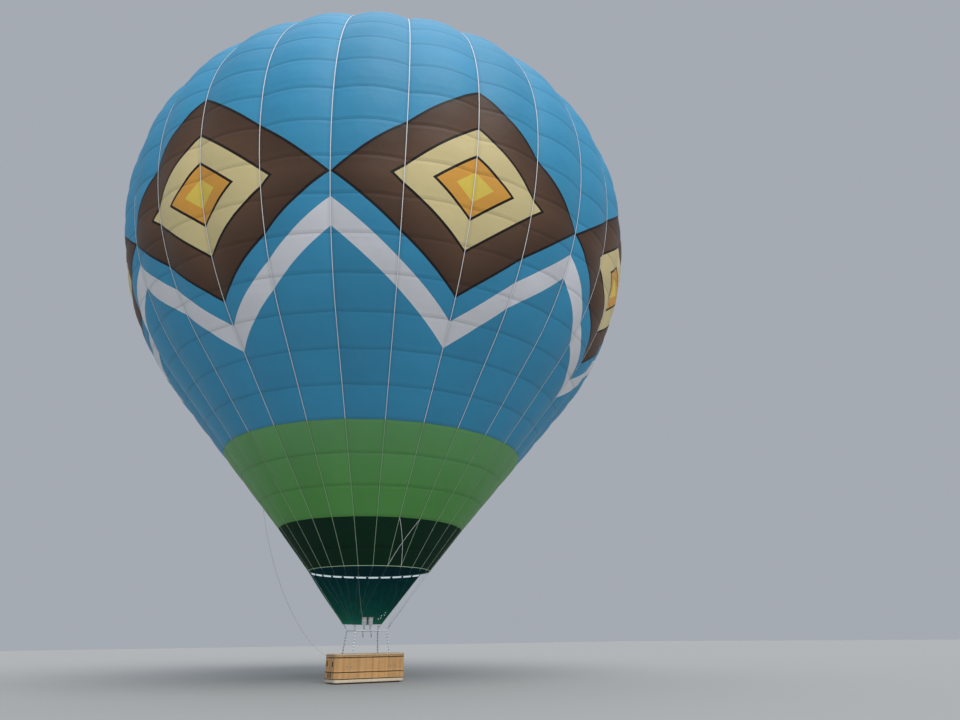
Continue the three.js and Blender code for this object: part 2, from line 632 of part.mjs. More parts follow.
// Basket outline helpers
function roundedRectangle(halfLength, halfWidth, radius) {
  const x = halfLength - radius;
  const y = halfWidth - radius;
  const shape = new THREE.Shape();
  shape.absarc(x, -y, radius, -PI / 2, 0, false);
  shape.absarc(x, y, radius, 0, PI / 2, false);
  shape.absarc(-x, y, radius, PI / 2, PI, false);
  shape.absarc(-x, -y, radius, PI, 1.5 * PI, false);
  return shape;
}
const upright = (shape, bottom, top, curveSegments = 4) =>
  new THREE.ExtrudeGeometry(shape, { depth: top - bottom, bevelEnabled: false, curveSegments })
    .translate(0, 0, bottom);
function band(outset, thickness, bottom, top) {
  const out = outset + thickness;
  const shape = roundedRectangle(BASKET_HALF_LENGTH + out, BASKET_HALF_WIDTH + out, BASKET_CORNER + out);
  const hole = roundedRectangle(BASKET_HALF_LENGTH + outset, BASKET_HALF_WIDTH + outset, BASKET_CORNER + outset);
  shape.holes.push(hole);
  return upright(shape, bottom, top);
}

// Floor and the skids under it
const floorBottom = SKID_HEIGHT + GAP;
const floorTop = floorBottom + FLOOR_THICKNESS;
addPiece(basketLevel, 'basket_floor',
  upright(roundedRectangle(BASKET_HALF_LENGTH, BASKET_HALF_WIDTH, BASKET_CORNER), floorBottom, floorTop),
  MATERIALS.plywood);
const SKID_HALF_LENGTH = 1400;
const SKID_HALF_WIDTH = 35;
for (const [i, y] of [[1, -440], [2, 0], [3, 440]]) {
  const side = new THREE.Shape();
  side.moveTo(-SKID_HALF_LENGTH, SKID_HEIGHT);
  side.lineTo(-SKID_HALF_LENGTH + SKID_HEIGHT, 0);
  side.lineTo(SKID_HALF_LENGTH - SKID_HEIGHT, 0);
  side.lineTo(SKID_HALF_LENGTH, SKID_HEIGHT);
  side.closePath();
  const skid = new THREE.ExtrudeGeometry(side, { depth: 2 * SKID_HALF_WIDTH, bevelEnabled: false });
  skid.rotateX(PI / 2).translate(0, y + SKID_HALF_WIDTH, 0);
  addPiece(basketLevel, `basket_skid_${i}`, skid, MATERIALS.plywood);
}

// Wicker walls: two flat sides and two ends that take in the round corners
const wallBottom = floorTop + GAP;
const flatEnd = BASKET_HALF_LENGTH - BASKET_CORNER;
for (const [name, s] of [['front', -1], ['back', 1]]) {
  const near = s * (BASKET_HALF_WIDTH - WALL);
  const far = s * BASKET_HALF_WIDTH;
  addPiece(basketLevel, `basket_wall_${name}`, block(
    vector(-flatEnd + GAP, min(near, far), wallBottom),
    vector(flatEnd - GAP, max(near, far), WALL_TOP)), MATERIALS.wicker);
}
// Foot holes through each end wall: y and z of the middle
const FOOT_HOLES = [[-330, 740], [330, 740], [-130, 330], [130, 330]];
const FOOT_HOLE_HALF = vector(60, 35, 85);
function endWall() {
  const y = BASKET_HALF_WIDTH - BASKET_CORNER;
  const inner = BASKET_CORNER - WALL;
  const shape = new THREE.Shape();
  shape.absarc(flatEnd, -y, BASKET_CORNER, -PI / 2, 0, false);
  shape.absarc(flatEnd, y, BASKET_CORNER, 0, PI / 2, false);
  shape.absarc(flatEnd, y, inner, PI / 2, 0, true);
  shape.absarc(flatEnd, -y, inner, 0, -PI / 2, true);
  const holes = FOOT_HOLES.map(([holeY, holeZ]) => {
    const middle = vector(BASKET_HALF_LENGTH - WALL / 2, holeY, holeZ);
    return block(middle.clone().sub(FOOT_HOLE_HALF), middle.clone().add(FOOT_HOLE_HALF));
  });
  return cut(upright(shape, wallBottom, WALL_TOP), ...holes);
}
addPiece(basketLevel, 'basket_end_right', endWall(), MATERIALS.wicker);
addPiece(basketLevel, 'basket_end_left', endWall(), MATERIALS.wicker).rotation.z = PI;

// Partitions: two across, and one along each end compartment
const insideHalfWidth = BASKET_HALF_WIDTH - WALL - GAP;
const insideHalfLength = BASKET_HALF_LENGTH - WALL - GAP;
for (const [name, s] of [['left', -1], ['right', 1]]) {
  const across = [s * (PARTITION_X - PARTITION / 2), s * (PARTITION_X + PARTITION / 2)];
  addPiece(basketLevel, `partition_across_${name}`, block(
    vector(min(...across), -insideHalfWidth, wallBottom),
    vector(max(...across), insideHalfWidth, PARTITION_TOP)), MATERIALS.wicker);
  const along = [s * (PARTITION_X + PARTITION / 2 + GAP), s * insideHalfLength];
  addPiece(basketLevel, `partition_along_${name}`, block(
    vector(min(...along), -PARTITION / 2, wallBottom),
    vector(max(...along), PARTITION / 2, PARTITION_TOP)), MATERIALS.wicker);
}

// Padded rim, woven belt and rawhide band around the walls
const rimZ = WALL_TOP + RIM_ROLL * cos(PI / 8) + GAP;
const rim = (radius) => tubeLoop(roundedCorners(
  BASKET_HALF_LENGTH - WALL / 2, BASKET_HALF_WIDTH - WALL / 2, BASKET_CORNER - WALL / 2, rimZ), radius);
addPiece(basketLevel, 'basket_rim', rim(RIM_ROLL), MATERIALS.suede);
addPiece(basketLevel, 'basket_belt', band(GAP, 14, 450, 490), MATERIALS.wicker);
addPiece(basketLevel, 'rawhide_band', band(GAP, 6, SKID_HEIGHT + GAP, 165), MATERIALS.rawhide);

// Padded uprights from the rim to the lugs' feet at the frame's corners
for (const frame of cornerFrames) {
  const foot = vector(frame.sx * UPRIGHT_X, frame.sy * (BASKET_HALF_WIDTH - WALL / 2), rimZ);
  const rise = frame.corner.clone().sub(foot).normalize();
  const head = frame.corner.clone().addScaledVector(rise, -LUG_RADIUS - GAP);
  const post = cut(rod(foot, head, UPRIGHT_RADIUS, 10), rim(RIM_ROLL + GAP));
  addPiece(basketLevel, `upright_${frame.name}`, post, MATERIALS.cover);
}

// Fuel cylinders in the middle compartment
const CYLINDER_RADIUS = 163;
const CYLINDER_HEIGHT = 900;
const cylinderProfile = [
  [0, 0], [CYLINDER_RADIUS - 30, 0], [CYLINDER_RADIUS, 40], [CYLINDER_RADIUS, CYLINDER_HEIGHT - 110],
  [CYLINDER_RADIUS - 50, CYLINDER_HEIGHT - 60], [70, CYLINDER_HEIGHT - 50], [70, CYLINDER_HEIGHT],
  [0, CYLINDER_HEIGHT],
].map(([r, z]) => new THREE.Vector2(r, z));
[[-1, -1], [1, -1], [1, 1], [-1, 1]].forEach(([sx, sy], i) => {
  const cylinder = new THREE.LatheGeometry(cylinderProfile, 16).rotateX(PI / 2);
  const piece = addPiece(basketLevel, `fuel_cylinder_${i + 1}`, cylinder, MATERIALS.castAlloy);
  piece.position.set(sx * 340, sy * 430, wallBottom);
});

export default balloon;
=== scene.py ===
# Hot air balloon: cloth, tapes, rigging, burners and wicker basket around the CAD frame.
# Metres, +Z up. The origin is on the axis at the envelope's widest level.
from math import acos, asin, ceil, cos, hypot, pi, radians, sin, tan

import bmesh
import bpy
import numpy as np
from mathutils import Matrix, Vector


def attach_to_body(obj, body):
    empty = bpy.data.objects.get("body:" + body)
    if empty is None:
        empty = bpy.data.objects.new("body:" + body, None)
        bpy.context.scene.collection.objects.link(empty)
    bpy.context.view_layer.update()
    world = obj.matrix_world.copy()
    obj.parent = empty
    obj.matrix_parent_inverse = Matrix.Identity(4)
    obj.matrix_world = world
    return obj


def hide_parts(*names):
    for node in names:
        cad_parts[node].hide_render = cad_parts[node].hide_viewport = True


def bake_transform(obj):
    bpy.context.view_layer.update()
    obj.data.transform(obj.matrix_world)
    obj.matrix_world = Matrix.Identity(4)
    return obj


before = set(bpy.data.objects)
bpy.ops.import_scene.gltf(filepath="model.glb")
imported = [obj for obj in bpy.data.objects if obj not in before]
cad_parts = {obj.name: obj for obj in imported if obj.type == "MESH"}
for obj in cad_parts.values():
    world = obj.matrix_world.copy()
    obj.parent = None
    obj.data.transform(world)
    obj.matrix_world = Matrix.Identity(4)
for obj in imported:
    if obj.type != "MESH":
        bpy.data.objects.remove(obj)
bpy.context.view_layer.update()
UP = np.array([0, 0, 1])

# Envelope: the same profile as the CAD solids
FOOT_Z = -20.608
EQUATOR_RADIUS = 12.230
SHOULDER_ARC = 8.864
SHOULDER_ANGLE = radians(57.4)
LOWER_ARC = 13.010
CONE_ANGLE = radians(40.2)
BLUE_EDGE_Z = 9.316 + FOOT_Z
GREEN_EDGE_Z = 6.143 + FOOT_Z
MOUTH_Z = 4.410 + FOOT_Z
MOUTH_RADIUS = 2.640
GORES = 28
GORE_STEP = 2 * pi / GORES
GORE_BULGE = 0.065
VALVE_OPENING_RADIUS = 2.900
CROWN_EDGE_RADIUS = 3.300
VALVE_RADIUS = 3.200
BULGE_FULL_RADIUS = 5.200
PANEL_HEIGHT = 1.385

# Camera: the photograph's view, with the balloon's axis at CAMERA_DISTANCE
CAMERA_AZIMUTH = radians(-21.8)
CAMERA_DISTANCE = 31.10
CAMERA_HEIGHT = 1.63
CAMERA_YAW = radians(9.19)
CAMERA_PITCH = radians(22.67)
CAMERA_ROLL = radians(0.67)
CAMERA_REACH = 500
PHOTO_WIDTH_PX = 960
CAMERA_FOCAL_PX = 667.1
SENSOR_WIDTH_MM = 36.0


def above_foot(height):
    return height + FOOT_Z


def turn(angle, axis):
    return Matrix.Rotation(angle, 4, axis)


def add_camera():
    data = bpy.data.cameras.new("camera")
    data.sensor_width = SENSOR_WIDTH_MM
    data.lens = CAMERA_FOCAL_PX / PHOTO_WIDTH_PX * SENSOR_WIDTH_MM
    data.clip_end = CAMERA_REACH
    camera = bpy.data.objects.new("camera", data)
    bpy.context.scene.collection.objects.link(camera)
    place = turn(CAMERA_AZIMUTH, "Z") @ Vector((0, -CAMERA_DISTANCE, above_foot(CAMERA_HEIGHT)))
    aim = turn(CAMERA_AZIMUTH - CAMERA_YAW, "Z") @ turn(pi / 2 + CAMERA_PITCH, "X")
    camera.matrix_world = Matrix.Translation(place) @ aim @ turn(-CAMERA_ROLL, "Z")
    bpy.context.scene.camera = camera


add_camera()


# Node materials
class Shader:
    """Builds the nodes of a material or world by short calls; values are sockets or numbers."""

    def __init__(self, name, kind="materials", last="Principled BSDF"):
        self.made = getattr(bpy.data, kind).new(name)
        self.made.use_nodes = True
        self.tree = self.made.node_tree
        self.last = self.tree.nodes[last]

    def node(self, kind, inputs=(), output=0, **settings):
        made = self.tree.nodes.new("ShaderNode" + kind)
        for key, value in settings.items():
            setattr(made, key, value)
        for key, value in inputs.items() if isinstance(inputs, dict) else enumerate(inputs):
            self.feed(made.inputs[key], value)
        return made.outputs[output]

    def feed(self, socket, value):
        if isinstance(value, bpy.types.NodeSocket):
            self.tree.links.new(value, socket)
        else:
            socket.default_value = value

    def set(self, **values):
        for key, value in values.items():
            self.feed(self.last.inputs[key.replace("_", " ")], value)

    def math(self, operation, *values, clamp=False):
        return self.node("Math", values, operation=operation, use_clamp=clamp)

    def tint(self, *terms):
        """The product of value * gain + base over the terms (value, gain, base)."""
        made = 1.0
        for term in terms:
            made = self.math("MULTIPLY", made, self.math("MULTIPLY_ADD", *term))
        return made

    def mix(self, share, a, b, blend="MIX"):
        return self.node("Mix", {"Factor": share, 6: a, 7: b}, 2, data_type="RGBA", blend_type=blend)

    def dim(self, colour, tint):
        return self.mix(1.0, colour, self.node("CombineColor", [tint] * 3), "MULTIPLY")

    def bump(self, height, strength, distance):
        return self.node("Bump", {"Height": height, "Strength": strength, "Distance": distance})

    def noise(self, scale, detail, vector):
        return self.node("TexNoise", {"Scale": scale, "Detail": detail, "Vector": vector})

    def place(self):
        return self.node("TexCoord", output=3)

    def split(self, vector):
        x = self.node("SeparateXYZ", [vector])
        return x, x.node.outputs[1], x.node.outputs[2]

    def panels(self):
        return self.split(self.node("UVMap", uv_map="panels"))[:2]

    def line(self, distance, half_width):
        """1 where the distance is 0, falling to 0 at half_width."""
        return self.math("SUBTRACT", 1.0, self.math("DIVIDE", distance, half_width), clamp=True)


def rgb(red, green, blue):
    return (red, green, blue, 1.0)


def cloth_material(name, colour_of, roughness, specular, glow=0.0):
    """Sewn panels: the UV holds the gore number and the panel row, with fractions.

    glow is the daylight that comes through to the inside."""
    shader = Shader(name)
    gore, row = shader.panels()
    math = shader.math
    gore_number = math("FLOOR", gore)
    cell = shader.node("CombineXYZ", [gore_number, math("FLOOR", row)])
    cell_tint = shader.node("TexWhiteNoise", {"Vector": cell})
    gore_tint = shader.node("TexWhiteNoise", {"W": gore_number}, noise_dimensions="1D")
    place = shader.place()
    soil = shader.noise(0.6, 4.0, place)
    row_gap = math("PINGPONG", row, 0.5)
    gather = shader.line(row_gap, 0.09)
    fold = shader.line(math("PINGPONG", gore, 0.5), 0.06)
    # dark is the thin dark stitching line at each row seam plus painted shade: a wider band beside the seam, where
    # gather also sinks the bump, and a band along each gore seam by the tapes (fold).
    dark = math("MULTIPLY_ADD", shader.line(row_gap, 0.012), 0.34, math("MULTIPLY", gather, 0.08))
    dark = math("MULTIPLY_ADD", fold, 0.16, dark)
    tint = shader.tint((cell_tint, 0.06, 0.95), (gore_tint, 0.07, 0.95), (soil, 0.16, 0.92),
                       (dark, -1.0, 1.0))
    colour = shader.dim(colour_of(shader, gore, row), tint)
    crease = shader.noise(2.2, 3.0, place)
    height = math("MULTIPLY_ADD", crease, 0.5, math("MULTIPLY", gather, -0.5))
    height = math("MULTIPLY_ADD", shader.noise(90.0, 1.0, place), 0.03, height)
    shader.set(Base_Color=colour, Roughness=roughness, Specular_IOR_Level=specular,
               Normal=shader.bump(height, 0.6, 0.05))
    if glow:
        shader.set(Emission_Color=colour, Emission_Strength=glow)
    return shader.made


INSIDE_GLOW = 0.35


def cloth_sides(name, colour_of, inside_of=None, roughness=0.5, specular=0.22):
    """The cloth's outer and inner material."""
    return [cloth_material(f"{name}_cloth", colour_of, roughness, specular),
            cloth_material(f"{name}_cloth_inside", inside_of or colour_of, roughness, specular,
                           INSIDE_GLOW)]


# Generic geometric design: nested lozenges, four gores wide, with a zigzag below
SKY_BLUE = rgb(0.047, 0.300, 0.510)
BROWN = rgb(0.125, 0.066, 0.038)
DEEP_BROWN = rgb(0.070, 0.037, 0.022)
OUTLINE = rgb(0.014, 0.010, 0.008)
CREAM = rgb(0.72, 0.60, 0.30)
ORANGE = rgb(0.74, 0.36, 0.06)
YELLOW = rgb(0.80, 0.60, 0.10)
WHITE = rgb(0.74, 0.75, 0.78)
LOZENGE_GORES = 4
LOZENGE_MIDDLE_ROW = 6.6
LOZENGE_HALF_ROWS = 3.0
LOZENGE_RINGS = [(1.000, OUTLINE), (0.970, BROWN), (0.600, OUTLINE), (0.570, CREAM),
                 (0.310, OUTLINE), (0.280, ORANGE), (0.140, YELLOW)]
ZIGZAG_RINGS = [(1.47, WHITE), (1.22, SKY_BLUE)]


def lozenge_colour(shader, gore, row):
    math = shader.math
    across = math("MULTIPLY", math("PINGPONG", gore, LOZENGE_GORES / 2), 2 / LOZENGE_GORES)
    rise = math("DIVIDE", math("SUBTRACT", row, LOZENGE_MIDDLE_ROW), LOZENGE_HALF_ROWS)
    reach = math("ADD", across, math("ABSOLUTE", rise))
    below = math("LESS_THAN", rise, 0.0)
    colour = SKY_BLUE
    for edge, fill in ZIGZAG_RINGS:
        inside = math("MULTIPLY", math("LESS_THAN", reach, edge), below)
        colour = shader.mix(inside, colour, fill)
    shade = math("MULTIPLY", math("SUBTRACT", reach, 0.6), 2.4, clamp=True)
    shaded_brown = shader.mix(shade, BROWN, DEEP_BROWN)
    for edge, fill in LOZENGE_RINGS:
        paint = shaded_brown if fill == BROWN else fill
        colour = shader.mix(math("LESS_THAN", reach, edge), colour, paint)
    return colour


def green_colour(shader, gore, row):
    """Lighter towards the upper edge of the band."""
    lift = shader.math("MULTIPLY_ADD", row, 0.42, 1.0, clamp=True)
    return shader.mix(lift, rgb(0.100, 0.330, 0.075), rgb(0.130, 0.350, 0.125))


def even(colour):
    return lambda shader, gore, row: colour


DARK_GREEN = rgb(0.006, 0.032, 0.016)
DARK_TEAL = rgb(0.005, 0.024, 0.026)
blue_cloth = cloth_sides("blue", lozenge_colour)
plain_blue_cloth = cloth_sides("plain_blue", even(SKY_BLUE))
green_cloth = cloth_sides("green", green_colour)
dark_cloth = cloth_sides("dark", even(DARK_GREEN), even(DARK_TEAL), 0.7, 0.08)


def plain_material(name, colour, roughness, metallic=0.0, spread=0.12, scale=8.0, glow=0.0):
    shader = Shader(name)
    if glow:
        shader.set(Emission_Color=colour, Emission_Strength=glow)
    place = shader.place()
    stain = shader.noise(scale, 4.0, place)
    dull = rgb(*(c * (1 - spread) for c in colour[:3]))
    grain = shader.noise(scale * 12, 2.0, place)
    shader.set(Base_Color=shader.mix(stain, dull, colour), Metallic=metallic,
               Roughness=shader.math("MULTIPLY_ADD", stain, 0.15, roughness - 0.07),
               Normal=shader.bump(grain, 0.3, 0.002))
    return shader.made


def scoop_material():
    """Darker teal at the mouth, lighter green where the daylight comes through lower down."""
    shader = Shader("scoop_cloth")
    wire, row = shader.panels()
    lift = shader.math("MULTIPLY", row, 1.1, clamp=True)
    colour = shader.mix(lift, rgb(0.010, 0.080, 0.080), rgb(0.018, 0.200, 0.110))
    fold = shader.noise(3.0, 3.0, shader.place())
    seam = shader.line(shader.math("PINGPONG", wire, 0.5), 0.05)
    # The colour follows the fold noise and the seams at the wires that also shape the bump: painted shade in the
    # hollows of the folds and along the seams, and painted light on the tops of the folds.
    tint = shader.tint((fold, 0.5, 0.72), (seam, -0.25, 1.0))
    height = shader.math("MULTIPLY_ADD", seam, -0.3, fold)
    shader.set(Base_Color=shader.dim(colour, tint), Roughness=0.7, Specular_IOR_Level=0.2,
               Normal=shader.bump(height, 0.5, 0.03))
    return shader.made


WEAVE_ROW = 0.0185
WEAVE_STEP = 0.050


def wicker_material(name, colour, woven_depth=0.0):
    """Split willow: each strand along a row has its own tint, and woven_depth is a weave in relief."""
    shader = Shader(name)
    math = shader.math
    place = shader.place()
    x, y, z = shader.split(place)
    along = math("ADD", x, y)
    row = math("DIVIDE", z, WEAVE_ROW)
    row_number = math("FLOOR", row)
    stretch = shader.node("CombineXYZ", [math("MULTIPLY", along, 2.0), row_number])
    strand_tint = shader.noise(1.0, 2.0, stretch)
    stake_tint = shader.noise(8.0, 3.0, shader.node("CombineXYZ", [x, y]))
    fibre = shader.noise(60.0, 3.0, place)
    tint = shader.tint((strand_tint, 0.6, 0.70), (stake_tint, 0.9, 0.55), (fibre, 0.3, 0.85))
    parity = math("MULTIPLY", math("PINGPONG", row_number, 1.0), pi)
    wave = math("SINE", math("MULTIPLY_ADD", along, pi / WEAVE_STEP, parity))
    height = math("MULTIPLY", math("MULTIPLY", wave, math("PINGPONG", row, 0.5)), woven_depth)
    height = math("MULTIPLY_ADD", fibre, 0.1, height)
    shader.set(Base_Color=shader.dim(colour, tint), Roughness=0.5, Specular_IOR_Level=0.4,
               Normal=shader.bump(height, 0.8, 0.008))
    return shader.made


def can_material():
    """Brushed steel with rows of air holes below and heat tints towards the rim."""
    shader = Shader("can_steel")
    math = shader.math
    around, up = shader.panels()
    column = math("SUBTRACT", math("FRACT", math("MULTIPLY", around, 18.0)), 0.5)
    line = math("SUBTRACT", math("FRACT", math("MULTIPLY", up, 6.0)), 0.5)
    square = math("MULTIPLY_ADD", column, column, math("MULTIPLY", line, line))
    hole = math("MULTIPLY", math("LESS_THAN", square, 0.05), math("LESS_THAN", up, 0.5))
    heat = math("MULTIPLY", math("SUBTRACT", up, 0.6), 2.0, clamp=True)
    colour = shader.mix(heat, rgb(0.74, 0.75, 0.76), rgb(0.52, 0.44, 0.36))
    shader.set(Base_Color=shader.mix(hole, colour, rgb(0.01, 0.01, 0.012)), Roughness=0.35,
               Metallic=math("SUBTRACT", 0.85, hole, clamp=True))
    return shader.made


webbing = plain_material("webbing", rgb(0.88, 0.90, 0.91), 0.7, spread=0.08, scale=20)
pale_webbing = plain_material("pale_webbing", rgb(0.44, 0.62, 0.40), 0.75, scale=20)
white_tape = plain_material("white_tape", rgb(0.88, 0.90, 0.92), 0.6, spread=0.04)
# The scoop's white strips and clips glow: painted light.
painted_glow_tape = plain_material("painted_glow_tape", rgb(0.88, 0.92, 0.96), 0.6, spread=0.04, glow=0.55)
scoop_cloth = scoop_material()
cable_steel = plain_material("cable_steel", rgb(0.24, 0.26, 0.27), 0.5, 0.6)
steel = plain_material("steel", rgb(0.66, 0.67, 0.68), 0.28, 1.0)
frame_steel = plain_material("frame_steel", rgb(0.90, 0.91, 0.92), 0.35, 0.1)
cast_alloy = plain_material("cast_alloy", rgb(0.34, 0.36, 0.40), 0.45, 0.8)
cylinder_steel = plain_material("cylinder_steel", rgb(0.62, 0.64, 0.66), 0.3, 0.9)
brass = plain_material("brass", rgb(0.60, 0.42, 0.16), 0.35, 1.0)
can_steel = can_material()
wicker = wicker_material("wicker", rgb(0.80, 0.47, 0.20))
# Near-black wicker for the CAD walls and partitions behind the weave: painted shade in the gaps between the
# strands and in the foot holes.
painted_shade_backing = wicker_material("painted_shade_backing", rgb(0.060, 0.028, 0.010), 1.0)
suede = plain_material("suede", rgb(0.74, 0.52, 0.31), 0.95, spread=0.25, scale=12)
lacing = plain_material("lacing", rgb(0.060, 0.030, 0.015), 0.8)
rawhide = plain_material("rawhide", rgb(0.90, 0.75, 0.55), 0.65, spread=0.35, scale=9)
plywood = plain_material("plywood", rgb(0.34, 0.20, 0.09), 0.6, spread=0.3)
cover = plain_material("cover", rgb(0.56, 0.55, 0.52), 0.85, spread=0.2)
rope = plain_material("rope", rgb(0.72, 0.66, 0.52), 0.9, spread=0.3, scale=40)
grip = plain_material("grip", rgb(0.04, 0.09, 0.24), 0.5)
rubber = plain_material("rubber", rgb(0.02, 0.02, 0.02), 0.7)


# Points
def unit(v):
    v = np.asarray(v, float)
    return v / np.linalg.norm(v, axis=-1, keepdims=True)


def between(a, b, share):
    return a + (np.asarray(b) - a) * share


def straight(a, b, count=2):
    return [between(a, b, share) for share in np.linspace(0, 1, count)]


def polar(azimuth, r, z):
    """The point at a radius and height, or the points where one of the three is a list."""
    return np.stack(np.broadcast_arrays(r * np.cos(azimuth), r * np.sin(azimuth), z), -1)


def spin(a, b, count):
    """Points round an ellipse with the half axes a and b."""
    angle = 2 * pi * np.arange(count)[:, None] / count
    return np.cos(angle) * a + np.sin(angle) * b


def circle(centre, radius, across, up, count=16):
    return centre + radius * spin(across, up, count)


def level_circle(radius, z, count, start=0.0):
    return polar(start + 2 * pi * np.arange(count) / count, radius, z)


def path_normals(tangents, up):
    """Normals along a path: up made square to it, or one normal carried along without twist."""
    if up is not None:
        return unit(up - tangents * (tangents @ up)[:, None])
    normals = []
    normal = np.array((0.0, 0.0, 1.0) if abs(tangents[0][2]) < 0.9 else (1.0, 0.0, 0.0))
    for tangent in tangents:
        normal = unit(normal - tangent * np.dot(normal, tangent))
        normals.append(normal)
    return np.array(normals)


# Meshes
def link_mesh(name, vertices, faces, materials):
    mesh = bpy.data.meshes.new(name)
    mesh.from_pydata(np.asarray(vertices).tolist(), [], faces)
    mesh.polygons.foreach_set("use_smooth", [True] * len(mesh.polygons))
    for material in materials:
        mesh.materials.append(material)
    made = bpy.data.objects.new(name, mesh)
    bpy.context.scene.collection.objects.link(made)
    return made


def skin(name, grid, materials, u, v, ring=True):
    """Quads over a grid of points whose last row joins the first, as the last column does in a ring.

    u and v are the panel coordinates of columns and rows; a ring has one u more. Without ring
    the grid is a folded sheet, and its two side edges are closed."""
    rows, columns = grid.shape[:2]
    first = np.indices((rows, columns if ring else columns - 1)).reshape(2, -1).T
    quads = first[:, None] + [(0, 0), (0, 1), (1, 1), (1, 0)]
    if not ring:
        low = np.arange(rows // 2 - 1)
        side = np.stack([low, low + 1, rows - 2 - low, rows - 1 - low], 1)
        for column, order in ((0, 1), (columns - 1, -1)):
            quads = np.concatenate([quads, np.stack([side, 0 * side + column], -1)[:, ::order]])
    row, column = quads[..., 0] % rows, quads[..., 1]
    made = link_mesh(name, grid.reshape(-1, 3), (row * columns + column % columns).tolist(), materials)
    uv = np.stack([np.asarray(u)[column], np.asarray(v)[row]], -1)
    layer = made.data.uv_layers.new(name="panels")
    layer.data.foreach_set("uv", uv.astype(np.float32).ravel())
    builder = bmesh.new()
    builder.from_mesh(made.data)
    if builder.calc_volume(signed=True) < 0:
        bmesh.ops.reverse_faces(builder, faces=builder.faces)
        builder.to_mesh(made.data)
    builder.free()
    return made, row


def shell(name, front, back, materials, u, v, crease_every, ring=True):
    """A closed shell from two grids [rows, columns, 3], with the last material on its back.

    Its upper and lower borders and each crease_every-th column are sharp."""
    rows, columns = front.shape[:2]
    grid = np.concatenate([front, back[::-1]])
    made, row = skin(name, grid, materials, u, [*v, *v[::-1]], ring)
    made.data.polygons.foreach_set("material_index", (row >= rows).all(1) * (len(materials) - 1))
    ends = edge_ends(made.data)
    row, column = np.minimum(ends // columns, 2 * rows - 1 - ends // columns), ends % columns
    border = (row[:, 0] == row[:, 1]) & np.isin(row[:, 0], (0, rows - 1))
    crease = (column[:, 0] == column[:, 1]) & (column[:, 0] % crease_every == 0)
    mark_sharp(made.data, border | crease)
    return made


def edge_ends(mesh):
    ends = np.zeros(len(mesh.edges) * 2, np.int32)
    mesh.edges.foreach_get("vertices", ends)
    return ends.reshape(-1, 2)


def mark_sharp(mesh, sharp):
    mesh.attributes.new("sharp_edge", "BOOLEAN", "EDGE").data.foreach_set("value", sharp)


def attach(made, slot, body="root", *nodes):
    """Attaches the piece to the body that it rides on and hides the CAD nodes that it replaces; slot is not used.
    """
    if body:
        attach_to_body(made, body)
    if nodes:
        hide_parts(*nodes)
    return made


def fan_volume(points, faces):
    volume = 0.0
    for k in range(1, faces.shape[1] - 1):
        a, b, c = points[faces[:, 0]], points[faces[:, k]], points[faces[:, k + 1]]
        volume += (a * np.cross(b, c)).sum()
    return volume


CREASE_ANGLE = radians(35)


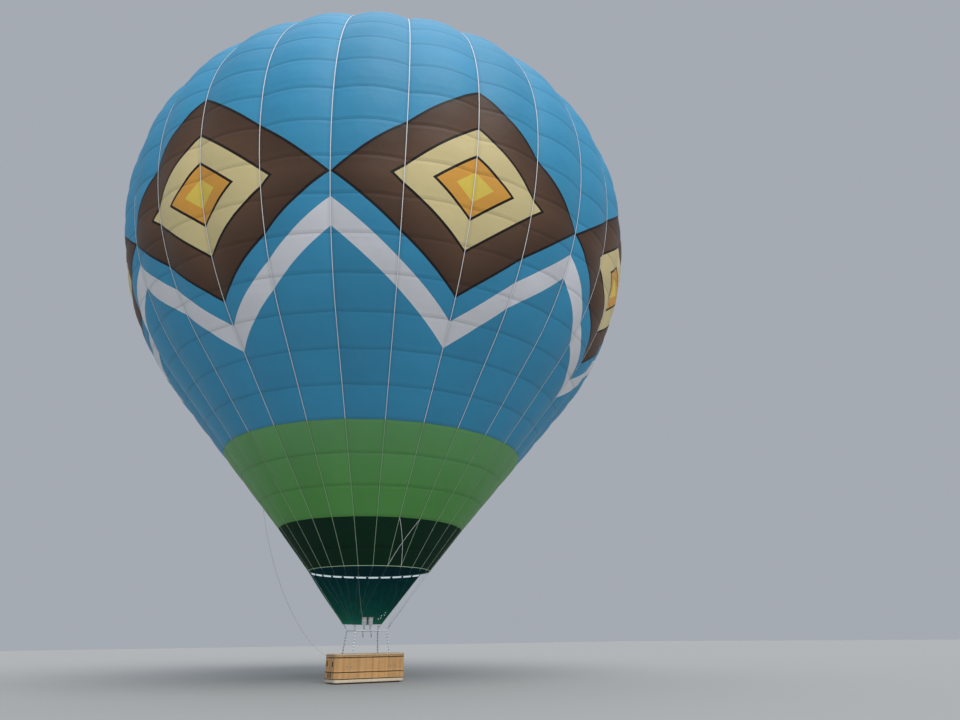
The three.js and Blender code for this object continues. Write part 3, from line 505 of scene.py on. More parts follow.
class Part:
    """Gathers tubes, turned parts, straps and blocks into one object."""

    def __init__(self):
        self.vertices, self.faces, self.slots, self.smooth = [], [], [], []
        self.materials, self.creases, self.count = [], [], 0

    def rings(self, rings, material, closed=False, smooth=True, creases=()):
        """Skins rings of points, with flat ends unless it closes on itself; creases are sharp rings."""
        rings = np.asarray(rings, float)
        count, sides = rings.shape[:2]
        index = np.arange(count * sides).reshape(count, sides)
        near = index if closed else index[:-1]
        far = np.roll(index, -1, 0) if closed else index[1:]
        quads = np.stack([near, np.roll(near, -1, 1), np.roll(far, -1, 1), far], -1).reshape(-1, 4)
        ends = np.zeros((0, sides), int) if closed else np.stack([index[0][::-1], index[-1]])
        points = rings.reshape(-1, 3)
        centred = points - points.mean(0)
        faces = (quads + self.count).tolist() + (ends + self.count).tolist()
        if fan_volume(centred, quads) + fan_volume(centred, ends) < 0:
            faces = [face[::-1] for face in faces]
        if material not in self.materials:
            self.materials.append(material)
        self.vertices.append(points)
        self.faces += faces
        self.slots += [self.materials.index(material)] * len(faces)
        self.smooth += [smooth] * len(quads) + [False] * len(ends)
        for ring in creases:
            around = index[ring] + self.count
            self.creases.append(np.stack([around, np.roll(around, -1)], 1))
        self.count += len(points)

    def tube(self, path, radius, material, sides=8, closed=False, flat=1.0, up=None):
        """A tube along a path; radius may be a list, and flat squeezes it across up."""
        path = np.asarray(path, float)
        along = np.roll(path, -1, 0) - np.roll(path, 1, 0) if closed else np.gradient(path, axis=0)
        tangents = unit(along)[:, None]
        normals = path_normals(tangents[:, 0], up)[:, None]
        spread = spin(normals, flat * np.cross(tangents, normals), sides)
        radii = np.broadcast_to(radius, len(path))[:, None, None]
        self.rings(path[:, None] + radii * spread, material, closed)

    def turned(self, outline, centre, material, axis=(0, 0, 1), sides=24, loop=False):
        """A turned part: (radius, height) pairs about an axis through centre."""
        axis = unit(axis)
        across = unit(np.cross(axis, (0, 1, 0) if abs(axis[1]) < 0.9 else (1, 0, 0)))
        spread = spin(across, np.cross(axis, across), sides)
        line = np.array([*outline, outline[0]] if loop else outline)
        turns = np.arctan2(*np.diff(line, axis=0).T[::-1])
        bends = np.abs((np.diff(turns) + pi) % (2 * pi) - pi)
        creases = [i + 1 for i, bend in enumerate(bends) if bend > CREASE_ANGLE]
        rings = [centre + axis * height + radius * spread for radius, height in outline]
        self.rings(rings, material, loop, creases=creases + ([0] if loop else []))

    def block(self, low, high, material, bevel):
        """A box with its edges bevelled."""
        (x0, y0, z0), (x1, y1, z1) = low, high
        rings = []
        for z, inset in ((z0, bevel), (z0 + bevel, 0), (z1 - bevel, 0), (z1, bevel)):
            left, front, right, back = x0 + inset, y0 + inset, x1 - inset, y1 - inset
            rings.append([(right - bevel, front, z), (right, front + bevel, z), (right, back - bevel, z),
                          (right - bevel, back, z), (left + bevel, back, z), (left, back - bevel, z),
                          (left, front + bevel, z), (left + bevel, front, z)])
        self.rings(rings, material, smooth=False)

    def strap(self, points, normals, width, height, material):
        """A flat strap along points, with its broad side facing the normals."""
        points = np.asarray(points, float)
        side = unit(np.cross(np.gradient(points, axis=0), normals)) * np.reshape(width, (-1, 1)) / 2
        up = unit(normals) * height / 2
        corners = [points - side - up, points + side - up, points + side + up, points - side + up]
        self.rings(np.stack(corners, 1), material, smooth=False)

    def object(self, name, slot, body="root", *nodes):
        made = link_mesh(name, np.concatenate(self.vertices), self.faces, self.materials)
        made.data.polygons.foreach_set("material_index", self.slots)
        made.data.polygons.foreach_set("use_smooth", self.smooth)
        if self.creases:
            codes = np.sort(np.concatenate(self.creases), 1) @ [1, self.count]
            found = np.sort(edge_ends(made.data), 1) @ [1, self.count]
            mark_sharp(made.data, np.isin(found, codes))
        return attach(made, slot, body, *nodes)


# The envelope's profile by length along the cloth; a station is (r, z, normal r, normal z)
def on_arc(centre_r, centre_z, radius, angle):
    c, s = cos(angle), sin(angle)
    return np.array([centre_r + radius * c, centre_z + radius * s, c, s])


CROWN_ARC = SHOULDER_ARC + (EQUATOR_RADIUS - SHOULDER_ARC) / cos(SHOULDER_ANGLE)
CROWN_CENTRE_Z = (SHOULDER_ARC - CROWN_ARC) * sin(SHOULDER_ANGLE)
CONE_TOP = on_arc(EQUATOR_RADIUS - LOWER_ARC, 0, LOWER_ARC, -CONE_ANGLE)


def on_crown(radius):
    return on_arc(0, CROWN_CENTRE_Z, CROWN_ARC, acos(radius / CROWN_ARC))


def on_cone(z):
    return np.array([CONE_TOP[0] - (CONE_TOP[1] - z) * tan(CONE_ANGLE), z, *CONE_TOP[2:]])


MOUTH = np.array([MOUTH_RADIUS, MOUTH_Z, *CONE_TOP[2:]])
SLANT = 1 / cos(CONE_ANGLE)
LOWER_LENGTH = (CONE_TOP[1] - BLUE_EDGE_Z) * SLANT
EQUATOR_LENGTH = LOWER_LENGTH + LOWER_ARC * CONE_ANGLE
SHOULDER_LENGTH = EQUATOR_LENGTH + SHOULDER_ARC * SHOULDER_ANGLE
CROWN_SPAN = CROWN_ARC * (acos(VALVE_OPENING_RADIUS / CROWN_ARC) - SHOULDER_ANGLE)
CROWN_LENGTH = SHOULDER_LENGTH + CROWN_SPAN
GREEN_LENGTH = (GREEN_EDGE_Z - BLUE_EDGE_Z) * SLANT
DARK_SPAN = hypot(on_cone(GREEN_EDGE_Z)[0] - MOUTH_RADIUS, GREEN_EDGE_Z - MOUTH_Z)
MOUTH_LENGTH = GREEN_LENGTH - DARK_SPAN


def profile(length):
    """The station at a length along the cloth above the blue's lower edge."""
    if length < GREEN_LENGTH:
        return between(on_cone(GREEN_EDGE_Z), MOUTH, (GREEN_LENGTH - length) / DARK_SPAN)
    if length < LOWER_LENGTH:
        return on_cone(BLUE_EDGE_Z + length / SLANT)
    if length < EQUATOR_LENGTH:
        return on_arc(EQUATOR_RADIUS - LOWER_ARC, 0, LOWER_ARC, (length - EQUATOR_LENGTH) / LOWER_ARC)
    if length < SHOULDER_LENGTH:
        angle = (length - EQUATOR_LENGTH) / SHOULDER_ARC
        return on_arc(EQUATOR_RADIUS - SHOULDER_ARC, 0, SHOULDER_ARC, angle)
    return on_arc(0, CROWN_CENTRE_Z, CROWN_ARC, SHOULDER_ANGLE + (length - SHOULDER_LENGTH) / CROWN_ARC)


def bulge_at(station):
    r, z = station[:2]
    from_crown = (r - CROWN_EDGE_RADIUS) / (BULGE_FULL_RADIUS - CROWN_EDGE_RADIUS)
    from_mouth = (z - MOUTH_Z) / (CONE_TOP[1] - MOUTH_Z)
    share = min(1.0, max(0.0, from_crown if z > 0 else from_mouth))
    return GORE_BULGE * GORE_STEP * r * share


def around(azimuth, station, out):
    """A point out from a station of the profile along its normal, at an azimuth."""
    return polar(azimuth, station[0] + station[2] * out, station[1] + station[3] * out)


def tape_azimuth(k):
    return (k + 0.5) * GORE_STEP


def crown_of(share):
    """0 at both seams of a gore and 1 midway."""
    return 4 * share * (1 - share)


def gore_grid(stations, segments, out_of):
    """Points round the stations; out_of gives each one's way out from the crown of the gore."""
    j = np.arange(GORES * segments)
    crown = crown_of(j % segments / segments)
    azimuth = tape_azimuth(j / segments)
    return np.array([around(azimuth, station, out_of(i, crown)) for i, station in enumerate(stations)])


# Cloth of the envelope, in five bands
GORE_SEGMENTS = 12
ROWS_PER_PANEL = 4
CLOTH_THICKNESS = 0.008
PILLOW = 0.035
PILLOW_FROM = 0.6
PILLOW_FULL_BULGE = 0.08


def cloth_band(name, bottom, top, materials, slot, nodes):
    """A band of cloth between two lengths above the blue's lower edge."""
    step = PANEL_HEIGHT / ROWS_PER_PANEL
    lengths = np.array([bottom, *np.arange(ceil(bottom / step + 1e-6), top / step - 1e-6) * step, top])
    stations = [profile(length) for length in lengths]
    bulge = [bulge_at(station) for station in stations]
    swell = np.abs(np.sin(pi * lengths / PANEL_HEIGHT)) ** PILLOW_FROM - PILLOW_FROM
    pillow = np.minimum(1.0, np.array(bulge) / PILLOW_FULL_BULGE) * PILLOW * swell
    outer, inner = [
        gore_grid(stations, GORE_SEGMENTS,
                  lambda i, crown: offset + bulge[i] * (crown - 0.5) + pillow[i] * np.sqrt(crown))
        for offset in (0, -CLOTH_THICKNESS)]
    u = np.arange(GORES * GORE_SEGMENTS + 1) / GORE_SEGMENTS
    made = shell(name, outer, inner, materials, u, lengths / PANEL_HEIGHT, GORE_SEGMENTS)
    attach(made, slot, "root", *nodes)


def quarters(name):
    return [f"{name}_{k}" for k in (1, 2, 3, 4)]


BANDS = [
    ("crown_cloth", SHOULDER_LENGTH, CROWN_LENGTH, plain_blue_cloth, "sky_blue_fabric",
     quarters("envelope_crown")),
    ("shoulder_cloth", EQUATOR_LENGTH, SHOULDER_LENGTH, blue_cloth, "sky_blue_fabric",
     quarters("envelope_shoulder")),
    ("lower_cloth", 0.0, EQUATOR_LENGTH, blue_cloth, "sky_blue_fabric", quarters("envelope_lower")),
    ("green_band", GREEN_LENGTH, 0.0, green_cloth, "green_fabric", ["envelope_green_band"]),
    ("dark_band", MOUTH_LENGTH, GREEN_LENGTH, dark_cloth, "dark_green_fabric", ["envelope_dark_band"]),
]
for band in BANDS:
    cloth_band(*band)

# Load tapes over the seams between the gores, and the crossed tapes in one gore
TAPE_WIDTH = 0.036
LOW_TAPE_WIDTH = 0.020
CONE_TAPE_WIDTH = 0.015
TAPE_HEIGHT = 0.006
TAPE_STEP = 0.35
TAPE_LIFT = 0.012
CROSSED_TAPES = (20, 21)
CROSSED_LIFTS = (0.020, 0.028)


def tape(part, azimuth, stations, lifts, width, height, material=webbing):
    """A tape on the cloth; the azimuth may be a list."""
    azimuth = np.broadcast_to(azimuth, len(stations))
    points = [around(a, station, lift) for a, station, lift in zip(azimuth, stations, lifts)]
    normals = [polar(a, *station[2:]) for a, station in zip(azimuth, stations)]
    part.strap(points, normals, width, height, material)


def load_tapes():
    part = Part()
    cone = (CONE_TAPE_WIDTH, CONE_TAPE_WIDTH)
    runs = ((MOUTH_LENGTH, GREEN_LENGTH, cone, pale_webbing), (GREEN_LENGTH, 0.0, cone, pale_webbing),
            (0.0, CROWN_LENGTH, (LOW_TAPE_WIDTH, TAPE_WIDTH), webbing))
    for low, high, widths, material in runs:
        lengths = np.linspace(low, high, max(3, int((high - low) / TAPE_STEP)))
        width = np.interp(lengths, (low, high), widths)
        stations = [profile(length) for length in lengths]
        lifts = [TAPE_LIFT - 0.5 * bulge_at(s) for s in stations]
        for k in range(GORES):
            tape(part, tape_azimuth(k), stations, lifts, width, TAPE_HEIGHT, material)
    shares = np.linspace(0, 1, 12)
    stations = [profile(MOUTH_LENGTH + DARK_SPAN * share) for share in shares]
    out = np.array([bulge_at(s) for s in stations]) * (crown_of(shares) - 0.5)
    ends = [tape_azimuth(k) for k in CROSSED_TAPES]
    for (start, end), lift in zip((ends, ends[::-1]), CROSSED_LIFTS):
        tape(part, between(start, end, shares), stations, lift + out, CONE_TAPE_WIDTH, TAPE_HEIGHT)
    part.object("load_tapes", "webbing")


load_tapes()

# Crown ring and crown tapes, with the parachute valve under them
VALVE_DROP = 0.0106
VALVE_VENT_RADIUS = 0.06
VALVE_SEGMENTS = 6
VALVE_ROWS = 22
VALVE_SAG = 0.02
CROWN_RING_RADIUS = 0.150
CROWN_RING_TUBE = 0.014
CROWN_RING_LIFT = 0.010
CROWN_TAPE_HEIGHT = 0.004


def crown_ring():
    part = Part()
    ring_z = on_crown(CROWN_RING_RADIUS)[1] + CROWN_RING_LIFT
    part.tube(level_circle(CROWN_RING_RADIUS, ring_z, 56), CROWN_RING_TUBE, steel, 12, True)
    stations = [on_crown(radius) for radius in np.linspace(CROWN_RING_RADIUS - 0.02, VALVE_RADIUS, 16)]
    lifts = [0.004 + 0.022 * max(0, 1 - abs(s[0] - CROWN_RING_RADIUS) / 0.20) for s in stations]
    for k in range(GORES):
        tape(part, tape_azimuth(k), stations, lifts, TAPE_WIDTH * 0.8, CROWN_TAPE_HEIGHT)
    part.object("crown_ring", "webbing", "root", "crown_ring_and_tapes")


crown_ring()


def parachute_valve():
    radii = np.linspace(VALVE_VENT_RADIUS, VALVE_RADIUS, VALVE_ROWS)
    stations = [on_crown(radius) for radius in radii]
    sag = VALVE_SAG * radii / VALVE_RADIUS
    front, back = [gore_grid(stations, VALVE_SEGMENTS, lambda i, crown: offset - VALVE_DROP - sag[i] * crown)
                   for offset in (0, -CLOTH_THICKNESS)]
    u = np.arange(GORES * VALVE_SEGMENTS + 1) / VALVE_SEGMENTS
    v = np.linspace(0.15, 2.85, VALVE_ROWS)
    made = shell("valve_cloth", front, back, plain_blue_cloth, u, v, VALVE_SEGMENTS)
    attach(made, "sky_blue_fabric", "valve", "parachute_valve")


parachute_valve()

# Corners of the burner frame, with the pull of the flying wires as in the CAD
FRAME_Z = above_foot(2.000)
FRAME_HALF = (0.710, 0.505)
FRAME_TUBE = 0.023
FRAME_BEND = 0.060
LUG_REACH = 0.062
LUG_RADIUS = 0.027
LINK_BAR = 0.006
LINK_BEND = 0.022
LINK_LENGTH = 0.060
LINK_SEAT = 0.0053
WIRE_SPACING = 0.009
WIRES_PER_CORNER = GORES // 4


class Corner:
    """One corner of the burner frame and the lines of its seven wires."""

    def __init__(self, name, sx, sy):
        self.name, self.sx, self.sy = name, sx, sy
        self.at = np.array([sx * FRAME_HALF[0], sy * FRAME_HALF[1], FRAME_Z])
        count = np.arange(WIRES_PER_CORNER)
        self.ends = polar(tape_azimuth(count), MOUTH_RADIUS, MOUTH_Z) * (sx, sy, 1)
        self.pull = unit(np.mean(self.ends, axis=0) - self.at)
        self.across = unit(np.cross(UP, self.pull))
        self.hole = self.at + self.pull * LUG_REACH
        self.collector = self.hole + self.pull * (LINK_SEAT + 2 * LINK_BEND + LINK_LENGTH)
        order = np.sign(np.dot(self.ends[-1] - self.ends[0], self.across))
        places = order * (count - count.mean()) * WIRE_SPACING
        self.starts = self.collector + self.across * places[:, None]


CORNERS = [Corner("back_right", 1, 1), Corner("back_left", -1, 1),
           Corner("front_left", -1, -1), Corner("front_right", 1, -1)]
CABLE_RADIUS = 0.0019
COLLECTOR_RADIUS = 0.012
COLLECTOR_HALF = 0.033
FERRULE_RADIUS = 0.0045
FERRULE_LENGTH = 0.055
THIMBLE_RADIUS = 0.011
WIRE_END = 0.016


def link_path(corner):
    middle = corner.hole + corner.pull * (LINK_SEAT + LINK_BEND + LINK_LENGTH / 2)
    return [middle + end * (corner.across * cos(angle) * LINK_BEND
                            + corner.pull * (LINK_LENGTH / 2 + sin(angle) * LINK_BEND))
            for end in (1, -1) for angle in np.linspace(0, pi, 9)]


def flying_wires(corner):
    part = Part()
    part.tube(link_path(corner), LINK_BAR, steel, 10, True)
    sleeve = corner.across * COLLECTOR_HALF
    part.tube(straight(corner.collector - sleeve, corner.collector + sleeve), COLLECTOR_RADIUS, steel, 16)
    for start, end in zip(corner.starts, corner.ends):
        along = unit(end - start)
        tip = end - along * (WIRE_END + 2 * THIMBLE_RADIUS)
        part.tube(straight(start, tip, 3), CABLE_RADIUS, cable_steel, 6)
        for low in (start, tip - along * FERRULE_LENGTH):
            part.tube(straight(low, low + along * FERRULE_LENGTH), FERRULE_RADIUS, steel)
        thimble = circle(tip + along * THIMBLE_RADIUS, THIMBLE_RADIUS, unit(np.cross(along, UP)), along)
        part.tube(thimble, CABLE_RADIUS, steel, 6, True)
    part.object(f"wires_{corner.name}", "steel", "root", f"flying_wires_{corner.name}")


for corner in CORNERS:
    flying_wires(corner)

# Mouth: the rolled webbing edge, with a loop at each tape for its wire
MOUTH_ROLL = 0.012
MOUTH_LOOP = 0.016
MOUTH_LOOP_TUBE = 0.004


def mouth_edge():
    part = Part()
    edge = level_circle(MOUTH_RADIUS, MOUTH_Z, 6 * GORES, tape_azimuth(0))
    part.tube(edge, MOUTH_ROLL, pale_webbing, 10, True)
    for k in range(GORES):
        azimuth = tape_azimuth(k)
        loop = circle(polar(azimuth, MOUTH_RADIUS, MOUTH_Z), MOUTH_LOOP, polar(azimuth, 1, 0), UP, 14)
        part.tube(loop, MOUTH_LOOP_TUBE, webbing, 6, True)
    part.object("mouth_edge", "webbing", "root", "mouth_roll")


mouth_edge()

# Scoop: cloth hung outside the back wires, billowed between them
SCOOP_INSIDE = 0.006
SCOOP_END = 0.945
SCOOP_BILLOW = 0.10
SCOOP_TOP_DROP = 0.0125
SCOOP_CLOTH = 0.004
SCOOP_SEGMENTS = 10
SCOOP_ROWS = 28
STRIP_START = 0.002
STRIP_HEIGHT = 0.085
STRIP_SPAN = 0.80
STRIP_THICKNESS = 0.003
STRIP_INSIDE = 0.0015
CLIPS = [(4, 0.850), (3, 0.833), (3, 0.790), (2, 0.777), (2, 0.733)]
CLIP_LENGTH = 0.028
CLIP_RADII = 0.016 * np.array([0.7, 1.0, 0.85, 0.85, 1.0, 0.7])
HEM_RADIUS = 0.006
SIDE_HEM_RADIUS = 0.005
SCOOP_TOPS, SCOOP_FEET = [np.concatenate([getattr(CORNERS[0], which), getattr(CORNERS[1], which)[::-1]])
                          for which in ("ends", "starts")]
SCOOP_SPANS = len(SCOOP_TOPS) - 1


def scoop_point(u, share, offset):
    """A point of the scoop: u counts the wires across it, share runs from the mouth down."""
    i = min(int(u), SCOOP_SPANS - 1)
    t = u - i
    top, foot = (between(ends[i], ends[i + 1], t) for ends in (SCOOP_TOPS, SCOOP_FEET))
    drop = SCOOP_TOP_DROP / np.linalg.norm(top - foot)
    at = drop + (1 - drop) * share
    left, right = (between(SCOOP_TOPS[k], SCOOP_FEET[k], at) for k in (i, i + 1))
    out = unit(np.cross(right - left, top - foot))
    billow = SCOOP_BILLOW * np.linalg.norm(right - left) * sin(pi * share) * sin(pi * t)
    return between(top, foot, at) + out * (offset + billow), out


def scoop_trim():
    """White strips between the wires along the upper edge, white clips on the wires, both with a painted glow, and
    the hems.
    """
    part = Part()
    strip_end = STRIP_START + STRIP_HEIGHT / np.linalg.norm(SCOOP_TOPS[0] - SCOOP_FEET[0])
    for i in range(SCOOP_SPANS):
        rings = []
        for u in i + 0.5 + np.linspace(-0.5, 0.5, 7) * STRIP_SPAN:
            top, out = scoop_point(u, STRIP_START, STRIP_INSIDE)
            low = scoop_point(u, strip_end, STRIP_INSIDE)[0]
            back = out * STRIP_THICKNESS
            rings.append([top, low, low + back, top + back])
        part.rings(rings, painted_glow_tape, smooth=False)
    for i, share in CLIPS:
        middle = between(SCOOP_TOPS[i], SCOOP_FEET[i], share)
        half = unit(SCOOP_FEET[i] - SCOOP_TOPS[i]) * CLIP_LENGTH / 2
        part.tube(straight(middle - half, middle + half, 6), CLIP_RADII, painted_glow_tape, 12)
    offset = SCOOP_INSIDE + SCOOP_CLOTH / 2
    hem = [scoop_point(u, SCOOP_END, offset)[0] for u in np.linspace(0, SCOOP_SPANS, 8 * SCOOP_SPANS)]
    part.tube(hem, HEM_RADIUS, pale_webbing, 6)
    for u in (0, SCOOP_SPANS):
        edge = [scoop_point(u, share, offset)[0] for share in np.linspace(0, SCOOP_END, 12)]
        part.tube(edge, SIDE_HEM_RADIUS, pale_webbing, 6)
    return part.object("scoop_trim", "webbing")


def scoop():
    u = np.linspace(0, SCOOP_SPANS, SCOOP_SPANS * SCOOP_SEGMENTS + 1)
    v = np.linspace(0, SCOOP_END, SCOOP_ROWS + 1)
    inner, outer = [np.array([[scoop_point(column, share, offset)[0] for column in u] for share in v])
                    for offset in (SCOOP_INSIDE, SCOOP_INSIDE + SCOOP_CLOTH)]
    made = shell("scoop_sheet", outer, inner, [scoop_cloth], u, v, SCOOP_SEGMENTS, False)
    attach(made, "scoop_fabric", "root", "scoop")
    scoop_trim()


scoop()

# Burner frame: welded tube with two crossbars, four lugs and the gimbal's bosses
CROSSBAR_X = 0.430
CROSSBAR_TUBE = 0.018
GIMBAL_HALF = (0.350, 0.270)
GIMBAL_TUBE = 0.014
PIN_RADIUS = 0.009
PIN_END_CLEAR = 0.006
BOSS_HALF = 0.022
BOSS_REACH = 0.052
BOSS_BEVEL = 0.004
EYE_RADIUS = 0.021
EYE_TUBE = 0.0062


def rounded_loop(half_x, half_y, bend, per_corner=7):
    points = []
    for sx, sy, quarter in ((1, 1, 0), (-1, 1, 1), (-1, -1, 2), (1, -1, 3)):
        for share in np.linspace(0, 1, per_corner):
            a = (quarter + share) * pi / 2
            points.append([sx * (half_x - bend) + bend * cos(a), sy * (half_y - bend) + bend * sin(a),
                           FRAME_Z])
    return points


def lug(part, corner):
    """An eye on the frame's corner, in the plane across the pull."""
    eye = circle(corner.hole, EYE_RADIUS, corner.across, corner.pull, 20)
    part.tube(eye, EYE_TUBE, frame_steel, 8, True)
    foot = [corner.at + corner.pull * 0.012, corner.hole - corner.pull * 0.020]
    normal = np.cross(corner.pull, corner.across)
    part.strap(foot, [normal, normal], 0.050, 0.012, frame_steel)


def frame_boss(part, axis, s, half):
    near, far = sorted((s * (half - BOSS_REACH), s * half))
    low = np.array([-BOSS_HALF, -BOSS_HALF, FRAME_Z - BOSS_HALF])
    high = np.array([BOSS_HALF, BOSS_HALF, FRAME_Z + BOSS_HALF])
    low[axis], high[axis] = near, far
    part.block(low, high, steel, BOSS_BEVEL)


def burner_frame():
    part = Part()
    part.tube(rounded_loop(*FRAME_HALF, FRAME_BEND), FRAME_TUBE, frame_steel, 20, True)
    for s in (1, -1):
        bar = straight((s * CROSSBAR_X, -FRAME_HALF[1], FRAME_Z), (s * CROSSBAR_X, FRAME_HALF[1], FRAME_Z))
        part.tube(bar, CROSSBAR_TUBE, frame_steel, 20)
        frame_boss(part, 0, s, CROSSBAR_X)
    for corner in CORNERS:
        lug(part, corner)
    part.object("frame_tubes", "steel", "root", "burner_frame")


def gimbal():
    part = Part()
    part.tube(rounded_loop(*GIMBAL_HALF, FRAME_BEND), GIMBAL_TUBE, frame_steel, 16, True)
    for s in (1, -1):
        tip = s * (CROSSBAR_X - CROSSBAR_TUBE - PIN_END_CLEAR)
        part.tube(straight((s * GIMBAL_HALF[0], 0, FRAME_Z), (tip, 0, FRAME_Z)), PIN_RADIUS, steel, 16)
        frame_boss(part, 1, s, GIMBAL_HALF[1])
    part.object("gimbal", "steel", "gimbal", "gimbal_ring")


burner_frame()
gimbal()

# Burners: valve block, cans with fuel coils, handles
BURNER_X = 0.140
CAN_RADIUS = 0.112
CAN_WALL = 0.004
CAN_BOTTOM = above_foot(2.215)
CAN_HEIGHT = 0.315
CAN_FLARE = 0.006
CAN_SIDES = 48
BLOCK_HALF = (0.215, 0.055, 0.030)
BLOCK_BEVEL = 0.008
SEAT_GAP = 0.0003
PLATE_TOP = CAN_BOTTOM - SEAT_GAP
STEM_RADIUS = 0.022
COIL_RADIUS = 0.078
COIL_TUBE = 0.009
COIL_TURNS = 3
COIL_RISE = 0.070
COIL_FOOT = 0.040
PIPE_RADIUS = 0.007
HANDLE_X = 0.185


def burner_block():
    part = Part()
    hx, hy, hz = BLOCK_HALF
    part.block((-hx, -hy, FRAME_Z - hz), (hx, hy, FRAME_Z + hz), cast_alloy, BLOCK_BEVEL)
    reach = GIMBAL_HALF[1] - GIMBAL_TUBE - PIN_END_CLEAR
    part.tube(straight((0, -reach, FRAME_Z), (0, reach, FRAME_Z)), PIN_RADIUS, steel, 16)
    top = PLATE_TOP - FRAME_Z
    plate = CAN_RADIUS - 0.006
    knob = [(0.012, 0.0), (0.012, 0.006), (0.014, 0.010), (0.014, 0.018), (0.011, 0.022)]
    stem = [(STEM_RADIUS, hz - 0.005), (STEM_RADIUS, hz + 0.02), (0.015, hz + 0.03),
            (0.015, top - 0.045), (STEM_RADIUS, top - 0.035), (STEM_RADIUS, top - 0.004)]
    for x in (BURNER_X, -BURNER_X):
        part.turned(stem, (x, 0, FRAME_Z), cast_alloy)
        part.turned([(plate, top - 0.008), (plate, top)], (x, 0, FRAME_Z), steel, sides=40)
        for side in (-1, 1):
            part.turned(knob, (x, side * hy, FRAME_Z), brass, axis=(0, side, 0), sides=16)
        pipe = [(x + 0.05, 0.03, FRAME_Z + hz), (x + 0.05, 0.03, FRAME_Z + 0.12),
                (x + 0.045, 0.02, FRAME_Z + 0.16), (x + 0.045, 0.02, PLATE_TOP - 0.004)]
        part.tube(pipe, PIPE_RADIUS, steel, 10)
    part.object("valve_block", "cast_alloy", "burners", "burner_block")


def burner_can(number, x):
    inner = CAN_RADIUS - CAN_WALL
    flare = CAN_RADIUS + CAN_FLARE
    waist = CAN_HEIGHT - 0.030
    outline = np.array([(inner, 0), (CAN_RADIUS, 0), (CAN_RADIUS, waist), (flare, CAN_HEIGHT - 0.014),
                        (flare, CAN_HEIGHT), (flare - CAN_WALL, CAN_HEIGHT), (inner, waist)])
    grid = np.array([level_circle(r, CAN_BOTTOM + height, CAN_SIDES) for r, height in outline])
    u = np.arange(CAN_SIDES + 1) / CAN_SIDES
    made = skin(f"can_{number}", grid + (x, 0, 0), [can_steel], u, outline[:, 1] / CAN_HEIGHT)[0]
    ends = edge_ends(made.data) // CAN_SIDES
    mark_sharp(made.data, (ends[:, 0] == ends[:, 1]) & np.isin(ends[:, 0], (0, 1, 4, 5)))
    attach(made, "steel", "burners", f"burner_can_{number}")


def fuel_coil(number, x):
    part = Part()
    bottom = PLATE_TOP + COIL_FOOT
    t = np.linspace(0, COIL_TURNS, 24 * COIL_TURNS + 1)
    path = polar(2 * pi * t, COIL_RADIUS, bottom + COIL_RISE * t) + (x, 0, 0)
    part.tube(path, COIL_TUBE, steel, 10)
    foot = straight((x + COIL_RADIUS, 0, PLATE_TOP + SEAT_GAP), (x + COIL_RADIUS, 0, bottom))
    part.tube(foot, COIL_TUBE, steel, 10)
    jets = [(0.050, 0.030), (0.060, 0.030), (0.060, 0.044), (0.050, 0.044)]
    part.turned(jets, (x, 0, PLATE_TOP), brass, sides=32, loop=True)
    for angle in (0.5, 2.6, 4.7):
        foot = polar(angle, 0.055, PLATE_TOP + SEAT_GAP) + (x, 0, 0)
        part.tube(straight(foot, foot + (0, 0, 0.032)), 0.004, steel)
    part.object(f"coil_{number}", "steel", "burners", f"burner_coil_{number}")


def blast_handle(number, x):
    part = Part()
    top = FRAME_Z - BLOCK_HALF[2] - SEAT_GAP
    elbow = top - 0.075
    body = [(0.014, 0), (0.014, -0.040), (0.010, -0.050), (0.010, -0.075)]
    part.turned(body, (x, 0, top), brass, sides=20)
    lever = [(x, 0, elbow + 0.004), (x, -0.02, elbow - 0.008), (x, -0.05, elbow - 0.016),
             (x, -0.06, elbow - 0.030)]
    part.tube(lever, PIPE_RADIUS, steel, 10)
    handle = [(0.008, -0.020), (0.014, -0.028), (0.013, -0.070), (0.015, -0.110), (0.013, -0.155),
              (0.009, -0.169)]
    part.turned(handle, (x, -0.060, elbow), grip, sides=20)
    part.object(f"handle_{number}", "grip", "burners", f"blast_handle_{number}")


burner_block()
for number, s in ((1, -1), (2, 1)):
    burner_can(number, s * BURNER_X)
    fuel_coil(number, s * BURNER_X)
    blast_handle(number, s * HANDLE_X)

# Basket outline, for everything that runs round it
BASKET_HALF = (1.525, 0.650)
BASKET_CORNER = 0.170
WALL = 0.045
WALL_TOP = 1.040
PARTITION_TOP = 1.000
PARTITION_X = 0.530
PARTITION = 0.040
INSIDE_BOTTOM = 0.075
RIM_ROLL = 0.035
RIM_Z = above_foot(WALL_TOP + RIM_ROLL * cos(pi / 8) + SEAT_GAP)
FOOT_HOLES = [(-0.330, 0.740), (0.330, 0.740), (-0.130, 0.330), (0.130, 0.330)]
FOOT_HOLE_HALF = (0.035, 0.085)
RAWHIDE_TOP = 0.165


def basket_outline(out, step):
    """Points round the basket about step apart, four times a whole number, with outward normals."""
    corner = BASKET_CORNER + out
    half_x, half_y = BASKET_HALF[0] - BASKET_CORNER, BASKET_HALF[1] - BASKET_CORNER
    centres = [(half_x, half_y), (-half_x, half_y), (-half_x, -half_y), (half_x, -half_y)]
    bend = corner * pi / 2
    lengths = [2 * half_y, bend, 2 * half_x, bend] * 2
    starts = np.cumsum([0, *lengths])
    count = 4 * round(starts[-1] / step / 4)
    points, normals = [], []
    for distance in np.arange(count) * starts[-1] / count:
        piece = int(np.searchsorted(starts, distance, "right")) - 1
        covered = distance - starts[piece]
        quarter, bent = divmod(piece, 2)
        angle = quarter * pi / 2 + (covered / corner if bent else 0)
        normal = np.array([cos(angle), sin(angle)])
        point = centres[quarter] + corner * normal
        if not bent:
            point -= np.array([-normal[1], normal[0]]) * (lengths[piece] - covered)
        points.append(point)
        normals.append(normal)
    return np.array(points), np.array(normals)


